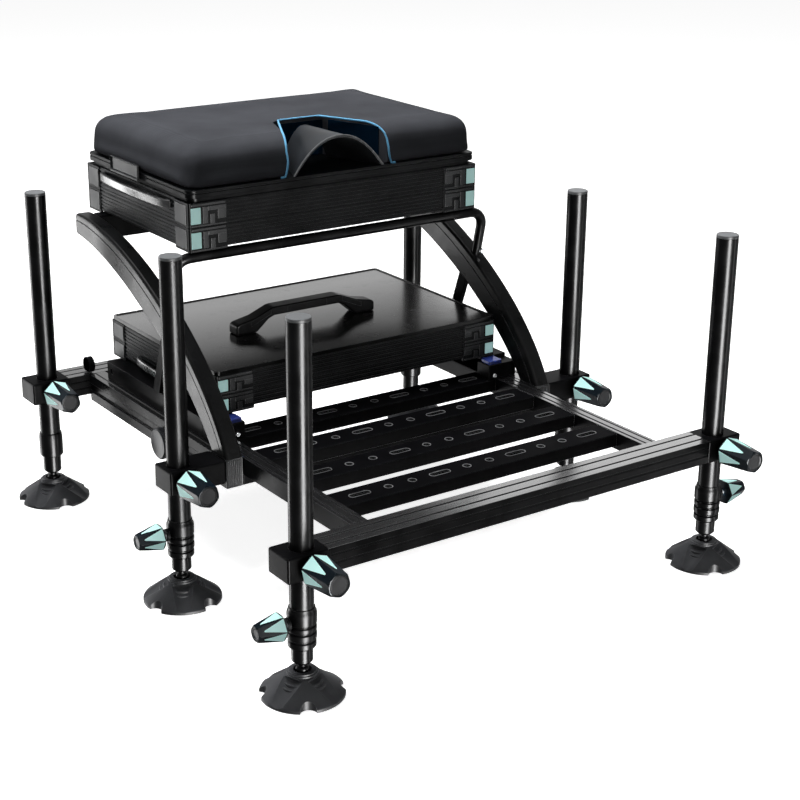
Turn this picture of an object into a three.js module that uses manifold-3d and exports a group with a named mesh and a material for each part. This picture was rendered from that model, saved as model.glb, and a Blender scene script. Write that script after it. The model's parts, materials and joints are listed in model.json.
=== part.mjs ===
// Fishing seat box: a chassis on six clamped legs, a sliding slatted footplate, a padded seat over
// two stacked trays on curved arches, and a lower tray box with its own lid.
// Millimetres, +X to the sitter's left as seen from the front, +Y to the back, +Z up, floor at zero.
import * as THREE from "three";
import { mergeVertices } from "three/addons/utils/BufferGeometryUtils.js";
import Module from "manifold-3d";

const wasm = await Module();
wasm.setup();

// Clearances between neighbouring pieces
const seatGap = 0.3; // pieces that rest on or butt against each other
const runGap = 0.4; // pieces that slide or turn in each other
const overrun = 5; // how far a cutting tool runs past the material

// Layout of the legs, with the front pair at y = 0
const legSpan = 672;
const frontToMid = 306;
const midToRear = 416;
const deckHeight = 194; // top of the beams and main rails above the floor

// Leg tubes and what they carry
const legDiameter = 30;
const legWall = 1.4;
const legTop = 478;
const legCapHeight = 4;
const legCapChamfer = 1;
const collarDiameter = 37;
const collarBottom = 64;
const collarHeight = 53;
const collarGroove = 1.8;
const collarGrooves = 3;
const sleeveDiameter = 35;
const sleeveBottom = 70;
const sleeveHeight = 37;
const stemInsertion = 120; // length of a stem inside its leg
const stemShoulder = 42; // height where the stem narrows to its neck
const stemChamfer = 3;
const neckDiameter = 10.4;
const ballDiameter = 18;
const ballHeight = 15; // centre of the ball above the floor
const socketGap = 0.6;
const socketMouth = 16.4; // narrower than the ball, which snaps in
const socketFlare = 24;
const roundSides = 12;
const socketSides = 8;

// Feet
const footDiameter = 106;
const footRim = 5;
const footTopDiameter = 40;
const footTopHeight = 29;
const footCollarDiameter = 31;
const footHeight = 33;
const footPetals = 4;
const footNotchRadius = 10.5;
const footNotchReach = 1; // centre of a rim notch beyond the rim
const footScoopRadius = 22;
const footScoopDepth = 6; // below the top of the cone
const footScoopLean = 30; // degrees
const footSides = 16;
const scoopSides = 12;
const footTurns = { front: 21, mid: 63, rear: 40 }; // degrees, as each foot swivels on its ball

// Cross beams and their leg blocks
const beamDepth = 46;
const beamHeight = 33;
const beamOverhang = 32; // beam end beyond the leg axis
const beamWall = 3;
const beamGrooveWidth = 3;
const beamGrooveDepth = 1.5;
const beamGrooveInset = 9; // groove centre from the beam's edge
const blockLength = 60;
const blockSkin = 1; // how far a beam's grooved middle stays inside its end blocks
const blockChamfer = 2;
const clampBore = 4.7;

// Main rails, mid blocks and the bar between them
const railWidth = 25;
const mainRailHeight = 41;
const railToLeg = 59.5; // a main rail's outer face to the legs' axes
const mainRailOuter = legSpan / 2 - railToLeg; // from the middle plane
const railInner = mainRailOuter - railWidth;
const railStart = 283; // front end of the main rails
const railGrooveHeight = 10;
const railGrooveDepth = 3;
const slideSlotHeight = 8.8;
const slideSlotDepth = 5.4;
const slideSlotDrop = 8.5; // top of the slide slot below the deck
const midBlockReach = 23; // block beyond the mid leg's axis
const crossBarHeight = 15;

// Footplate: two rails and perforated slats behind the front beam
const plateDrop = 0.6; // footplate rails below the deck
const plateRailHeight = 25;
const plateRailEnd = 500;
const plateRailWall = 2.5;
const plateRailGroove = 1.2;
const shoeLength = 95;
const slatCount = 4;
const slatPitch = 91;
const firstSlat = 96; // middle of the front slat
const slatWidth = 45;
const slatHeight = 15;
const slatSheet = 2.5;
const slatDrop = 1.6; // slat tops below the deck
const slotPitchShare = 0.279; // of the slat's length
const slotLength = 31;
const slotWidth = 10;
const holeDiameter = 11;
const holePitch = 37.5; // distance between the two holes of a pair
const holeSides = 8;

// Arches, brace posts and seat supports
const archWidth = 25;
const archFootDepth = 37;
const archMidDepth = 46;
const archTopDepth = 31;
const archFoot = 302; // centre of an arch where it stands on its rail
const archRun = 420;
const archRise = 229;
const archFootLean = 60; // degrees above the floor at the foot
const archTopLean = 0; // degrees above the floor at the top end
const archFootPull = 135; // how long each end keeps its direction
const archTopPull = 140;
const archFillet = 5;
const archGrooveShare = 0.34; // groove above the centre line, of the half depth
const archGrooveWidth = 3;
const archGrooveDepth = 1.5;
const archSteps = 12;
const braceWidth = 20;
const braceThickness = 8;
const archToBrace = 208; // middle of the arch's foot to the middle of the brace post's foot
const braceFoot = archFoot + archToBrace;
const archToCatch = 43; // middle of the arch's foot to the front of the catch block
const catchFront = archFoot + archToCatch;
const braceLean = 58; // how far forward its top end lies
const braceHeight = 160;
const supportTubeDiameter = 15;
const supportTubeY = 437;
const supportTubeBend = 26;
const supportTubeFoot = 455;
const supportTubeSides = 8;
const bendSteps = 6;
const crossTubeDepth = 25;
const crossTubeHeight = 36;
const crossTubeY = 700;

// Seat: two trays, lid, cushion and the bridge in its front notch
const seatToRail = 10.5; // side of the trays to the main rail's inner face
const seatWidth = 2 * (railInner - seatToRail);
const seatDepth = 313;
const seatFront = 431;
const seatTrayFloor = 441; // underside of the lower seat tray
const seatCornerFoot = 438; // underside of its corner clips
const seatTrayTop = 506;
const trayWall = 3;
const trayFloor = 2.5;
const trayRib = 1;
const trayRibHeight = 3;
const trayRibs = 3;
const clipFrontLength = 58;
const clipSideLength = 40;
const clipProud = 2;
const lidPlate = 11.5;
const lidShadowGap = 5.5; // the lid plate stands this far above the tray rim on its lip
const lidLip = 6; // width of the lip
const lidCorner = 12;
const cushionHeight = 60;
const cushionShoulder = 30;
const cushionCrown = 8;
const cushionCorner = 22;
const cushionInset = 1;
const crownShares = [0.8, 0.55, 0.28]; // rings of the crown, of the top's half width
const drawInShare = 0.006; // how far the cushion's sides draw in, of its half width
const notchFront = 166;
const notchBack = 92;
const notchDepth = 107;
const bridgeDepth = 94;
const bridgeHeight = 50;
const bridgeFrontWidth = 150;
const bridgeBackWidth = 78;
const bridgeSheet = 3;
const bridgeSteps = 12;
const bridgeShares = [0, 0.5, 1]; // its sections, of its depth

// Lid hinges and the seat latch
const knuckleRadius = 4;
const knuckleLength = 38;
const knucklePin = 1.8;
const hingeOffset = 4.6; // hinge axis outside the tray wall
const hingeSpread = 190; // distance between a lid's two hinges
const knuckleSides = 10;
const latchLength = 84;
const latchHeight = 21;
const latchThickness = 3.2;
const latchFrame = 3.5;
const latchPanelDepth = 1.2;
const latchY = 611;
const latchLift = 7; // latch axis above the tray rim
const latchBarrel = 2.6;

// Lower box
const boxToRail = 12.5; // side of the box to the main rail's inner face
const boxWidth = 2 * (railInner - boxToRail);
const boxDepth = 318;
const catchToBox = 27; // front of the catch block to the front of the box
const boxFront = catchFront + catchToBox;
const boxTrayFloor = 226;
const boxCornerFoot = 222;
const boxTrayTop = 278;
const boxLidThickness = 6;
const boxLidRim = 1.5;
const boxLidRimWidth = 5;
const handleLength = 240;
const handleGrip = 116;
const handleKnee = 176; // distance between the two bends where the ends start to rise
const handleFoot = 34;
const handleWidth = 24;
const handleHeight = 34;
const handleKneeHeight = 22;
const handleEndHeight = 16;
const handleThickness = 13;
const handleInset = 138; // middle of the handle behind the front of the box
const handleShift = 14; // middle of the handle to the left of the box's middle
const handleY = boxFront + handleInset;
const seatGrabLength = 214;
const boxGrabLength = 150;
const seatGrabThickness = 6;
const boxGrabThickness = 5;
const grabHeight = 12;
const seatGrabDrop = 4; // top of a seat handle below the tray's rim
const boxGrabLift = 5; // underside of a box handle above the tray's floor
const seatGrabBulge = 15;
const boxGrabToRail = 0.7; // box handle inside the inner faces of the rails and arches, which it slides past
const grabFlatness = 0.35; // power of the bow, lower for a straighter grip
const grabSteps = 8;

// Box supports and their catches
const supportOverlap = 10.5; // support on its rail
const supportWidth = 47;
const supportOuter = railInner + supportOverlap;
const supportInner = supportOuter - supportWidth;
const supportRun = 295; // its back end behind the front of the box
const supportEnd = boxFront + supportRun;
const supportSheet = 3;
const catchOverhang = 4; // block in front of a support, inwards beyond it
const catchInner = supportInner - catchOverhang;
const catchWidth = 24;
const catchLength = 22;
const catchTravel = 3;
const catchPocket = 11;
const catchBlockDrop = 5; // block top below the button's top
const catchMargin = 2.4; // wall round the button's pocket

// Knobs
const clampKnobLength = 52;
const clampKnobNeck = 8;
const clampKnobBack = 42;
const clampKnobFace = 32;
const clampKnobFlat = 37; // distance across the insert facets
const clampNeckDiameter = 20;
const clampShank = 8;
const knobFaceRecess = 1.5;
const knobFaceRim = 3;
const knobBackLip = 4;
const clampKnobSides = 12;
const stemKnobLength = 36;
const stemKnobNeck = 5;
const stemKnobBack = 37;
const stemKnobFront = 23;
const stemKnobValleyShare = 0.66; // valley radius as a share of the lobe radius
const stemKnobLobes = 6;
const stemKnobHeight = 98;
const stemNeckDiameter = 8;
const stemBossDiameter = 17;
const lockKnobDiameter = 45;
const lockKnobThickness = 13;
const lockKnobY = 456;
const lockKnobRim = 2;
const lockKnobSides = 18;

// Places that follow from the sizes above
const midY = frontToMid;
const rearY = frontToMid + midToRear;
const beamBottom = deckHeight - beamHeight;
const plateRailTop = deckHeight - plateDrop;
const plateRailOuter = railInner - runGap;
const plateRailInner = plateRailOuter - railWidth;
const beamFace = beamDepth / 2 - blockSkin; // face of a beam's grooved middle from its axis
const boxBack = boxFront + boxDepth;
const lidUnderside = seatTrayTop + lidShadowGap;
const cushionBottom = lidUnderside + lidPlate + seatGap;
const catchTop = boxCornerFoot - runGap;
const catchBottom = catchTop - catchPocket;
const frontReach = beamDepth / 2 + seatGap + clampKnobNeck + clampKnobLength;
const backReach = rearY + footDiameter / 2;
const middleY = (backReach - frontReach) / 2;

const looks = {
  blackAlloy: { color: 0x0c0d10, roughness: 0.32, metalness: 0.85 },
  blackPlastic: { color: 0x0b0c0d, roughness: 0.45, metalness: 0.0 },
  greyPlastic: { color: 0x3a3d40, roughness: 0.5, metalness: 0.0 },
  navyPlastic: { color: 0x0d141c, roughness: 0.4, metalness: 0.0 },
  blueButton: { color: 0x2a3f96, roughness: 0.35, metalness: 0.2 },
  satinLid: { color: 0x2b2d2e, roughness: 0.5, metalness: 0.3 },
  fabric: { color: 0x24272c, roughness: 0.85, metalness: 0.0 },
};

const seatBox = new THREE.Group();
seatBox.position.y = -middleY;

// Turns a closed geometry into a solid, with its faces outwards.
function solidOf(geometry) {
  const bare = new THREE.BufferGeometry();
  bare.setAttribute("position", geometry.getAttribute("position").clone());
  bare.setIndex(geometry.index);
  const merged = mergeVertices(bare);
  const corners = [];
  const index = merged.index.array;
  for (let i = 0; i < index.length; i += 3) {
    const [a, b, c] = [index[i], index[i + 1], index[i + 2]];
    if (a !== b && b !== c && c !== a) {
      corners.push(a, b, c);
    }
  }
  const build = (triVerts) =>
    new wasm.Manifold(
      new wasm.Mesh({ numProp: 3, vertProperties: merged.attributes.position.array, triVerts }),
    );
  const solid = build(new Uint32Array(corners));
  return solid.volume() < 0 ? build(new Uint32Array(corners.toReversed())) : solid;
}

// Gives a solid's surface back as a geometry.
function geometryOf(solid) {
  const mesh = solid.getMesh();
  const geometry = new THREE.BufferGeometry();
  geometry.setAttribute("position", new THREE.BufferAttribute(mesh.vertProperties, 3));
  geometry.setIndex(new THREE.BufferAttribute(mesh.triVerts, 1));
  geometry.computeVertexNormals();
  return geometry;
}

const join = (...solids) => solids.reduce((sum, solid) => sum.add(solid));
const cut = (body, ...tools) => tools.reduce((rest, tool) => rest.subtract(tool), body);

// Adds one named piece to a group.
function addPiece(group, name, solid, look) {
  const mesh = new THREE.Mesh(geometryOf(solid), new THREE.MeshStandardMaterial(looks[look]));
  mesh.name = name;
  group.add(mesh);
  return mesh;
}

// A block between two corners.
function slab(x0, x1, y0, y1, z0, z1) {
  const geometry = new THREE.BoxGeometry(Math.abs(x1 - x0), Math.abs(y1 - y0), Math.abs(z1 - z0));
  geometry.translate((x0 + x1) / 2, (y0 + y1) / 2, (z0 + z1) / 2);
  return solidOf(geometry);
}

function shapeOf(points) {
  return new THREE.Shape(points.map(([u, v]) => new THREE.Vector2(u, v)));
}

// An outline of [y, z] pairs drawn out along X, of [x, z] pairs along Y, or of [x, y] pairs along Z.
function drawnOut(axis, outline, from, to, holes = [], bevel = {}) {
  const shape = shapeOf(axis === "y" ? outline.map(([x, z]) => [z, x]) : outline);
  const round = bevel.size || 0;
  const geometry = new THREE.ExtrudeGeometry(shape, {
    depth: to - from - 2 * round,
    bevelEnabled: round > 0,
    bevelThickness: round,
    bevelSize: round,
    bevelOffset: -round,
    bevelSegments: bevel.segments || 1,
    steps: 1,
  });
  geometry.translate(0, 0, from + round);
  const [x, y, z] = [new THREE.Vector3(1, 0, 0), new THREE.Vector3(0, 1, 0), new THREE.Vector3(0, 0, 1)];
  const basis = { x: [y, z, x], y: [z, x, y], z: [x, y, z] }[axis];
  geometry.applyMatrix4(new THREE.Matrix4().makeBasis(...basis));
  const tools = holes.map((hole) => drawnOut(axis, hole, from - overrun, to + overrun));
  return cut(solidOf(geometry), ...tools);
}

// A turned piece: [radius, height] pairs around an axis that starts at the origin.
function turned(profile, sides, direction = "+z") {
  const geometry = new THREE.LatheGeometry(profile.map(([r, h]) => new THREE.Vector2(r, h)), sides);
  geometry.rotateX(Math.PI / 2);
  if (direction === "-y") geometry.rotateX(Math.PI / 2);
  if (direction === "+y") geometry.rotateX(-Math.PI / 2);
  if (direction === "+x") geometry.rotateY(Math.PI / 2);
  if (direction === "-x") geometry.rotateY(-Math.PI / 2);
  return geometry;
}

// A plain round bar along one of turned's directions.
function roundBar(radius, length, sides, direction, place) {
  const profile = [[0, 0], [radius, 0], [radius, length], [0, length]];
  return solidOf(turned(profile, sides, direction).translate(...place));
}

// A closed surface through rings of points, capped by fans, or by strips where the ends are sheets.
function lofted(rings, stripCaps = false) {
  const count = rings[0].length;
  const positions = rings.flat(2);
  const index = [];
  for (let r = 0; r + 1 < rings.length; r++) {
    for (let i = 0; i < count; i++) {
      const [a, b] = [r * count + i, r * count + ((i + 1) % count)];
      index.push(a, b, b + count, a, b + count, a + count);
    }
  }
  const cap = (start, outward) => {
    const triangle = (a, b, c) => index.push(a, outward ? b : c, outward ? c : b);
    if (stripCaps) {
      for (let i = 0; i + 1 < count / 2; i++) {
        const [far, near] = [start + count - 1 - i, start + count - 2 - i];
        triangle(start + i, start + i + 1, near);
        triangle(start + i, near, far);
      }
      return;
    }
    const ring = positions.slice(3 * start, 3 * (start + count));
    const centre = [0, 1, 2].map((k) => ring.filter((_, j) => j % 3 === k).reduce((s, v) => s + v) / count);
    positions.push(...centre);
    for (let i = 0; i < count; i++) {
      triangle(positions.length / 3 - 1, start + i, start + ((i + 1) % count));
    }
  };
  cap(0, false);
  cap((rings.length - 1) * count, true);
  const geometry = new THREE.BufferGeometry();
  geometry.setAttribute("position", new THREE.Float32BufferAttribute(positions, 3));
  geometry.setIndex(index);
  return geometry;
}

// Points of a rectangle with round corners about the origin, anticlockwise.
function roundedRectangle(width, depth, radius, stepsPerCorner) {
  const points = [];
  const corners = [[1, 1, 0], [-1, 1, 1], [-1, -1, 2], [1, -1, 3]];
  for (const [sx, sy, quarter] of corners) {
    for (let i = 0; i <= stepsPerCorner; i++) {
      const angle = (quarter + i / stepsPerCorner) * (Math.PI / 2);
      const x = sx * (width / 2 - radius) + radius * Math.cos(angle);
      const y = sy * (depth / 2 - radius) + radius * Math.sin(angle);
      points.push([x, y]);
    }
  }
  return points;
}

// Legs: a hollow tube with its cap, and a ribbed collar or a plain sleeve at its lower end
function legTube(adjustable) {
  const outer = legDiameter / 2;
  const bore = outer - legWall;
  const [bottom, height, diameter] = adjustable
    ? [collarBottom, collarHeight, collarDiameter]
    : [sleeveBottom, sleeveHeight, sleeveDiameter];
  const band = diameter / 2;
  const profile = [[bore, bottom], [band - collarGroove, bottom], [band, bottom + collarGroove]];
  const pitch = height / (collarGrooves + 2);
  for (let i = 1; adjustable && i <= collarGrooves; i++) {
    const middle = bottom + i * pitch;
    profile.push([band, middle - collarGroove], [band - collarGroove, middle], [band, middle + collarGroove]);
  }
  profile.push([band, bottom + height - collarGroove], [outer, bottom + height]);
  profile.push([outer, legTop - legCapChamfer], [outer - legCapChamfer, legTop], [0, legTop]);
  profile.push([0, legTop - legCapHeight], [bore, legTop - legCapHeight], [bore, bottom]);
  return solidOf(turned(profile, roundSides));
}

// Inner leg with the neck and ball that carry the foot
function stem(bottomOfCollar) {
  const radius = legDiameter / 2 - legWall - seatGap;
  const ball = ballDiameter / 2;
  const neck = neckDiameter / 2;
  const profile = [[0, ballHeight - ball]];
  const start = Math.asin(neck / ball);
  const ballSteps = 4;
  for (let i = 1; i <= ballSteps; i++) {
    const angle = Math.PI - ((Math.PI - start) * i) / ballSteps;
    profile.push([ball * Math.sin(angle), ballHeight + ball * Math.cos(angle)]);
  }
  profile.push([neck, stemShoulder], [radius - stemChamfer, stemShoulder]);
  profile.push([radius, stemShoulder + stemChamfer], [radius, bottomOfCollar + stemInsertion]);
  profile.push([0, bottomOfCollar + stemInsertion]);
  return solidOf(turned(profile, roundSides));
}

// Foot: a shallow cone with flat petals, scoops between them and a notch in each petal's rim
function foot() {
  const rim = footDiameter / 2;
  const top = footTopDiameter / 2;
  const collar = footCollarDiameter / 2;
  const profile = [
    [0, 0],
    [rim, 0],
    [rim, footRim],
    [top, footTopHeight],
    [collar, footHeight],
    [0, footHeight],
  ];
  let body = solidOf(turned(profile, footSides));
  const slope = THREE.MathUtils.degToRad(footScoopLean);
  for (let i = 0; i < footPetals; i++) {
    const angle = ((i + 0.5) * 2 * Math.PI) / footPetals;
    const reach = rim + footNotchReach;
    const notch = new THREE.CylinderGeometry(footNotchRadius, footNotchRadius, footHeight, scoopSides);
    notch.rotateX(Math.PI / 2).translate(reach, 0, footHeight / 2 - overrun).rotateZ(angle);
    const length = rim;
    const scoop = new THREE.CylinderGeometry(footScoopRadius, footScoopRadius, length, scoopSides);
    scoop.rotateZ(-Math.PI / 2).translate(length / 2, 0, footScoopRadius - footScoopDepth);
    scoop.rotateY(slope).translate(top, 0, footTopHeight).rotateZ(angle + Math.PI / footPetals);
    body = cut(body, solidOf(notch), solidOf(scoop));
  }
  const socket = (ballDiameter / 2 + socketGap) / Math.cos(Math.PI / socketSides) ** 2;
  const cavity = new THREE.SphereGeometry(socket, socketSides, socketSides / 2);
  cavity.rotateX(Math.PI / 2).translate(0, 0, ballHeight);
  const rise = footHeight - ballHeight + overrun;
  const mouth = turned([[0, 0], [socketMouth / 2, 0], [socketFlare / 2, rise], [0, rise]], roundSides);
  return cut(body, solidOf(cavity), solidOf(mouth.translate(0, 0, ballHeight)));
}

// Clamp knob: a cone with six facets for its inserts, a recessed face and a threaded shank
function clampKnob() {
  const back = clampKnobBack / 2;
  const face = clampKnobFace / 2;
  const neck = clampNeckDiameter / 2;
  const shankLength = beamDepth / 2 - legDiameter / 2 - seatGap;
  const start = clampKnobNeck;
  const end = clampKnobNeck + clampKnobLength;
  const profile = [
    [0, -shankLength],
    [clampShank / 2, -shankLength],
    [clampShank / 2, 0],
    [neck, 0],
    [neck, start],
    [back - knobBackLip, start],
    [back, start + knobBackLip],
    [face, end - knobFaceRecess],
    [face - knobFaceRecess, end],
    [face - knobFaceRim, end],
    [face - knobFaceRim, end - knobFaceRecess],
    [0, end - knobFaceRecess],
  ];
  const cone = solidOf(turned(profile, clampKnobSides, "-y"));
  const prism = new THREE.CylinderGeometry(
    clampKnobFlat / 2 / Math.cos(Math.PI / 6),
    clampKnobFlat / 2 / Math.cos(Math.PI / 6),
    3 * end,
    6,
  );
  return cone.intersect(solidOf(prism));
}

// Stem knob: a tapered head of six lobes on a neck, with a boss against the collar
function stemKnob(side) {
  const ring = (radius, along) => {
    const points = [];
    for (let i = 0; i < 2 * stemKnobLobes; i++) {
      const angle = (i * Math.PI) / stemKnobLobes;
      const reach = i % 2 ? radius * stemKnobValleyShare : radius;
      points.push([side * along, reach * Math.cos(angle), stemKnobHeight + reach * Math.sin(angle)]);
    }
    return points;
  };
  const start = collarDiameter / 2 + seatGap + 2 * stemKnobNeck;
  const end = start + stemKnobLength;
  const chamfer = knobFaceRecess;
  const head = solidOf(
    lofted([
      ring(stemKnobBack / 2, start),
      ring(stemKnobFront / 2, end - chamfer),
      ring(stemKnobFront / 2 - chamfer, end),
    ]),
  );
  const bossStart = collarDiameter / 2 + seatGap;
  const profile = [
    [0, bossStart],
    [stemBossDiameter / 2, bossStart],
    [stemBossDiameter / 2, bossStart + stemKnobNeck],
    [stemNeckDiameter / 2, bossStart + stemKnobNeck],
    [stemNeckDiameter / 2, start + stemKnobNeck],
    [0, start + stemKnobNeck],
  ];
  const direction = side > 0 ? "+x" : "-x";
  const neck = solidOf(turned(profile, roundSides, direction).translate(0, 0, stemKnobHeight));
  return join(head, neck);
}

const legPlaces = [
  { place: "front", y: 0, adjustable: true },
  { place: "mid", y: midY, adjustable: true },
  { place: "rear", y: rearY, adjustable: false },
];

for (const { place, y, adjustable } of legPlaces) {
  for (const [hand, side] of [["left", -1], ["right", 1]]) {
    const leg = new THREE.Group();
    leg.position.set((side * legSpan) / 2, y, 0);
    seatBox.add(leg);
    addPiece(leg, `leg_${place}_${hand}`, legTube(adjustable), "blackAlloy");
    addPiece(leg, `stem_${place}_${hand}`, stem(adjustable ? collarBottom : sleeveBottom), "blackAlloy");
    const base = addPiece(leg, `foot_${place}_${hand}`, foot(), "blackPlastic");
    base.rotation.z = THREE.MathUtils.degToRad(footTurns[place]);
    const knob = addPiece(leg, `clamp_knob_${place}_${hand}`, clampKnob(), "navyPlastic");
    knob.position.set(0, -beamDepth / 2 - seatGap, deckHeight - beamHeight / 2);
    if (adjustable) {
      addPiece(leg, `stem_knob_${place}_${hand}`, stemKnob(side), "navyPlastic");
    }
  }
}

// The bore for a leg and the hole for its clamp screw, with the leg's axis at x and y
function legBore(x, y) {
  const radius = legDiameter / 2 + runGap;
  const depth = beamHeight + 2 * overrun;
  const bore = roundBar(radius, depth, roundSides, "+z", [x, y, beamBottom - overrun]);
  const screw = roundBar(
    clampBore,
    beamDepth / 2 + overrun,
    roundSides,
    "-y",
    [x, y, deckHeight - beamHeight / 2],
  );
  return join(bore, screw);
}

// Leg block with chamfered edges, between two x values and centred on y
function legBlock(x0, x1, y) {
  const half = beamDepth / 2;
  const c = blockChamfer;
  const outline = [
    [y - half + c, beamBottom],
    [y + half - c, beamBottom],
    [y + half, beamBottom + c],
    [y + half, deckHeight - c],
    [y + half - c, deckHeight],
    [y - half + c, deckHeight],
    [y - half, deckHeight - c],
    [y - half, beamBottom + c],
  ];
  return drawnOut("x", outline, x0, x1);
}

// Cross beam: a hollow grooved extrusion between two leg blocks
function crossBeam(y) {
  const end = legSpan / 2 + beamOverhang;
  const half = beamDepth / 2 - blockSkin;
  const [bottom, top] = [beamBottom + blockSkin, deckHeight];
  const g = beamGrooveWidth / 2;
  const outline = [[-half, bottom], [half, bottom]];
  const z = deckHeight - beamHeight / 2;
  const sunk = half - beamGrooveDepth;
  outline.push([half, z - g], [sunk, z - g], [sunk, z + g], [half, z + g]);
  outline.push([half, top]);
  for (const middle of [half - beamGrooveInset, beamGrooveInset - half]) {
    outline.push([middle + g, top], [middle + g, top - beamGrooveDepth]);
    outline.push([middle - g, top - beamGrooveDepth], [middle - g, top]);
  }
  outline.push([-half, top]);
  outline.push([-half, z + g], [-sunk, z + g], [-sunk, z - g], [-half, z - g]);
  const placed = outline.map(([u, v]) => [u + y, v]);
  const inner = end - blockLength;
  const bar = drawnOut("x", placed, -inner - overrun, inner + overrun);
  const blocks = [legBlock(-end, -inner, y), legBlock(inner, end, y)];
  const hollow = slab(
    -legSpan / 2,
    legSpan / 2,
    y - half + beamWall + beamGrooveDepth,
    y + half - beamWall - beamGrooveDepth,
    bottom + beamWall,
    top - beamWall - beamGrooveDepth,
  );
  return cut(join(bar, ...blocks), hollow, legBore(-legSpan / 2, y), legBore(legSpan / 2, y));
}

addPiece(seatBox, "front_beam", crossBeam(0), "blackAlloy");
addPiece(seatBox, "rear_beam", crossBeam(rearY), "blackAlloy");

// Main rail: grooved outside, slotted inside for the footplate's shoe, drilled for the slide lock
function mainRail(side) {
  const [outer, inner] = [side * mainRailOuter, side * railInner];
  const bottom = deckHeight - mainRailHeight;
  const grooveLow = bottom + (mainRailHeight - railGrooveHeight) / 2;
  const slotTop = deckHeight - slideSlotDrop;
  const outline = [
    [outer, bottom],
    [outer, grooveLow],
    [outer - side * railGrooveDepth, grooveLow],
    [outer - side * railGrooveDepth, grooveLow + railGrooveHeight],
    [outer, grooveLow + railGrooveHeight],
    [outer, deckHeight],
    [inner, deckHeight],
    [inner, slotTop],
    [inner + side * slideSlotDepth, slotTop],
    [inner + side * slideSlotDepth, slotTop - slideSlotHeight],
    [inner, slotTop - slideSlotHeight],
    [inner, bottom],
  ];
  const rail = drawnOut("y", outline, railStart, rearY - beamFace - seatGap);
  if (side > 0) {
    return rail;
  }
  const depth = railWidth / 3;
  const hole = roundBar(clampBore, depth + overrun, roundSides, "+x", [
    -mainRailOuter - overrun,
    lockKnobY,
    lockKnobZ(),
  ]);
  return cut(rail, hole);
}

// The lock's screw meets the rail at the middle of its outer groove.
function lockKnobZ() {
  return deckHeight - mainRailHeight / 2 - railGrooveHeight;
}

// Slide lock: a flat round knob whose screw bears on the footplate's rail
function lockKnob() {
  const radius = lockKnobDiameter / 2;
  const shank = railWidth / 3 - seatGap;
  const profile = [
    [0, -shank],
    [clampShank / 2, -shank],
    [clampShank / 2, 0],
    [radius - lockKnobRim, 0],
    [radius, lockKnobRim],
    [radius, lockKnobThickness - lockKnobRim],
    [radius - lockKnobRim, lockKnobThickness],
    [0, lockKnobThickness],
  ];
  return solidOf(turned(profile, lockKnobSides, "-x"));
}

for (const [hand, side] of [["left", -1], ["right", 1]]) {
  addPiece(seatBox, `main_rail_${hand}`, mainRail(side), "blackAlloy");
  const [near, far] = [mainRailOuter + seatGap, legSpan / 2 + midBlockReach];
  const block = legBlock(Math.min(side * near, side * far), Math.max(side * near, side * far), midY);
  addPiece(seatBox, `mid_block_${hand}`, cut(block, legBore((side * legSpan) / 2, midY)), "blackAlloy");
}
const lock = addPiece(seatBox, "slide_lock", lockKnob(), "greyPlastic");
lock.position.set(-mainRailOuter - seatGap, lockKnobY, lockKnobZ());

// Cross bar between the main rails, under the footplate
const crossBarTop = plateRailTop - plateRailHeight - runGap;
const crossBar = slab(
  seatGap - railInner,
  railInner - seatGap,
  railStart,
  railStart + railWidth,
  crossBarTop - crossBarHeight,
  crossBarTop,
);
addPiece(seatBox, "mid_cross_bar", crossBar, "blackAlloy");

// Footplate rail: hollow, with two shallow grooves on top and a shoe in the main rail's slot
function plateRail(side) {
  const [outer, inner] = [side * plateRailOuter, side * plateRailInner];
  const bottom = plateRailTop - plateRailHeight;
  const quarter = railWidth / 4;
  const g = plateRailGroove;
  const outline = [[outer, bottom], [outer, plateRailTop]];
  for (const share of [1, 3]) {
    const middle = outer - side * share * quarter;
    outline.push([middle + side * g, plateRailTop], [middle, plateRailTop - g]);
    outline.push([middle - side * g, plateRailTop]);
  }
  outline.push([inner, plateRailTop], [inner, bottom]);
  const wall = side * plateRailWall;
  const hollow = [
    [outer - wall, bottom + plateRailWall],
    [outer - wall, plateRailTop - plateRailWall],
    [inner + wall, plateRailTop - plateRailWall],
    [inner + wall, bottom + plateRailWall],
  ];
  const rail = drawnOut("y", outline, beamFace + seatGap, plateRailEnd, [hollow]);
  const slotTop = deckHeight - slideSlotDrop;
  const shoeOuter = side * (railInner + slideSlotDepth - runGap);
  const shoe = slab(
    outer - wall / 2,
    shoeOuter,
    plateRailEnd - shoeLength,
    plateRailEnd,
    slotTop - slideSlotHeight + runGap,
    slotTop - runGap,
  );
  return join(rail, shoe);
}

addPiece(seatBox, "footplate_rail_left", plateRail(-1), "blackAlloy");
addPiece(seatBox, "footplate_rail_right", plateRail(1), "blackAlloy");

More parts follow.
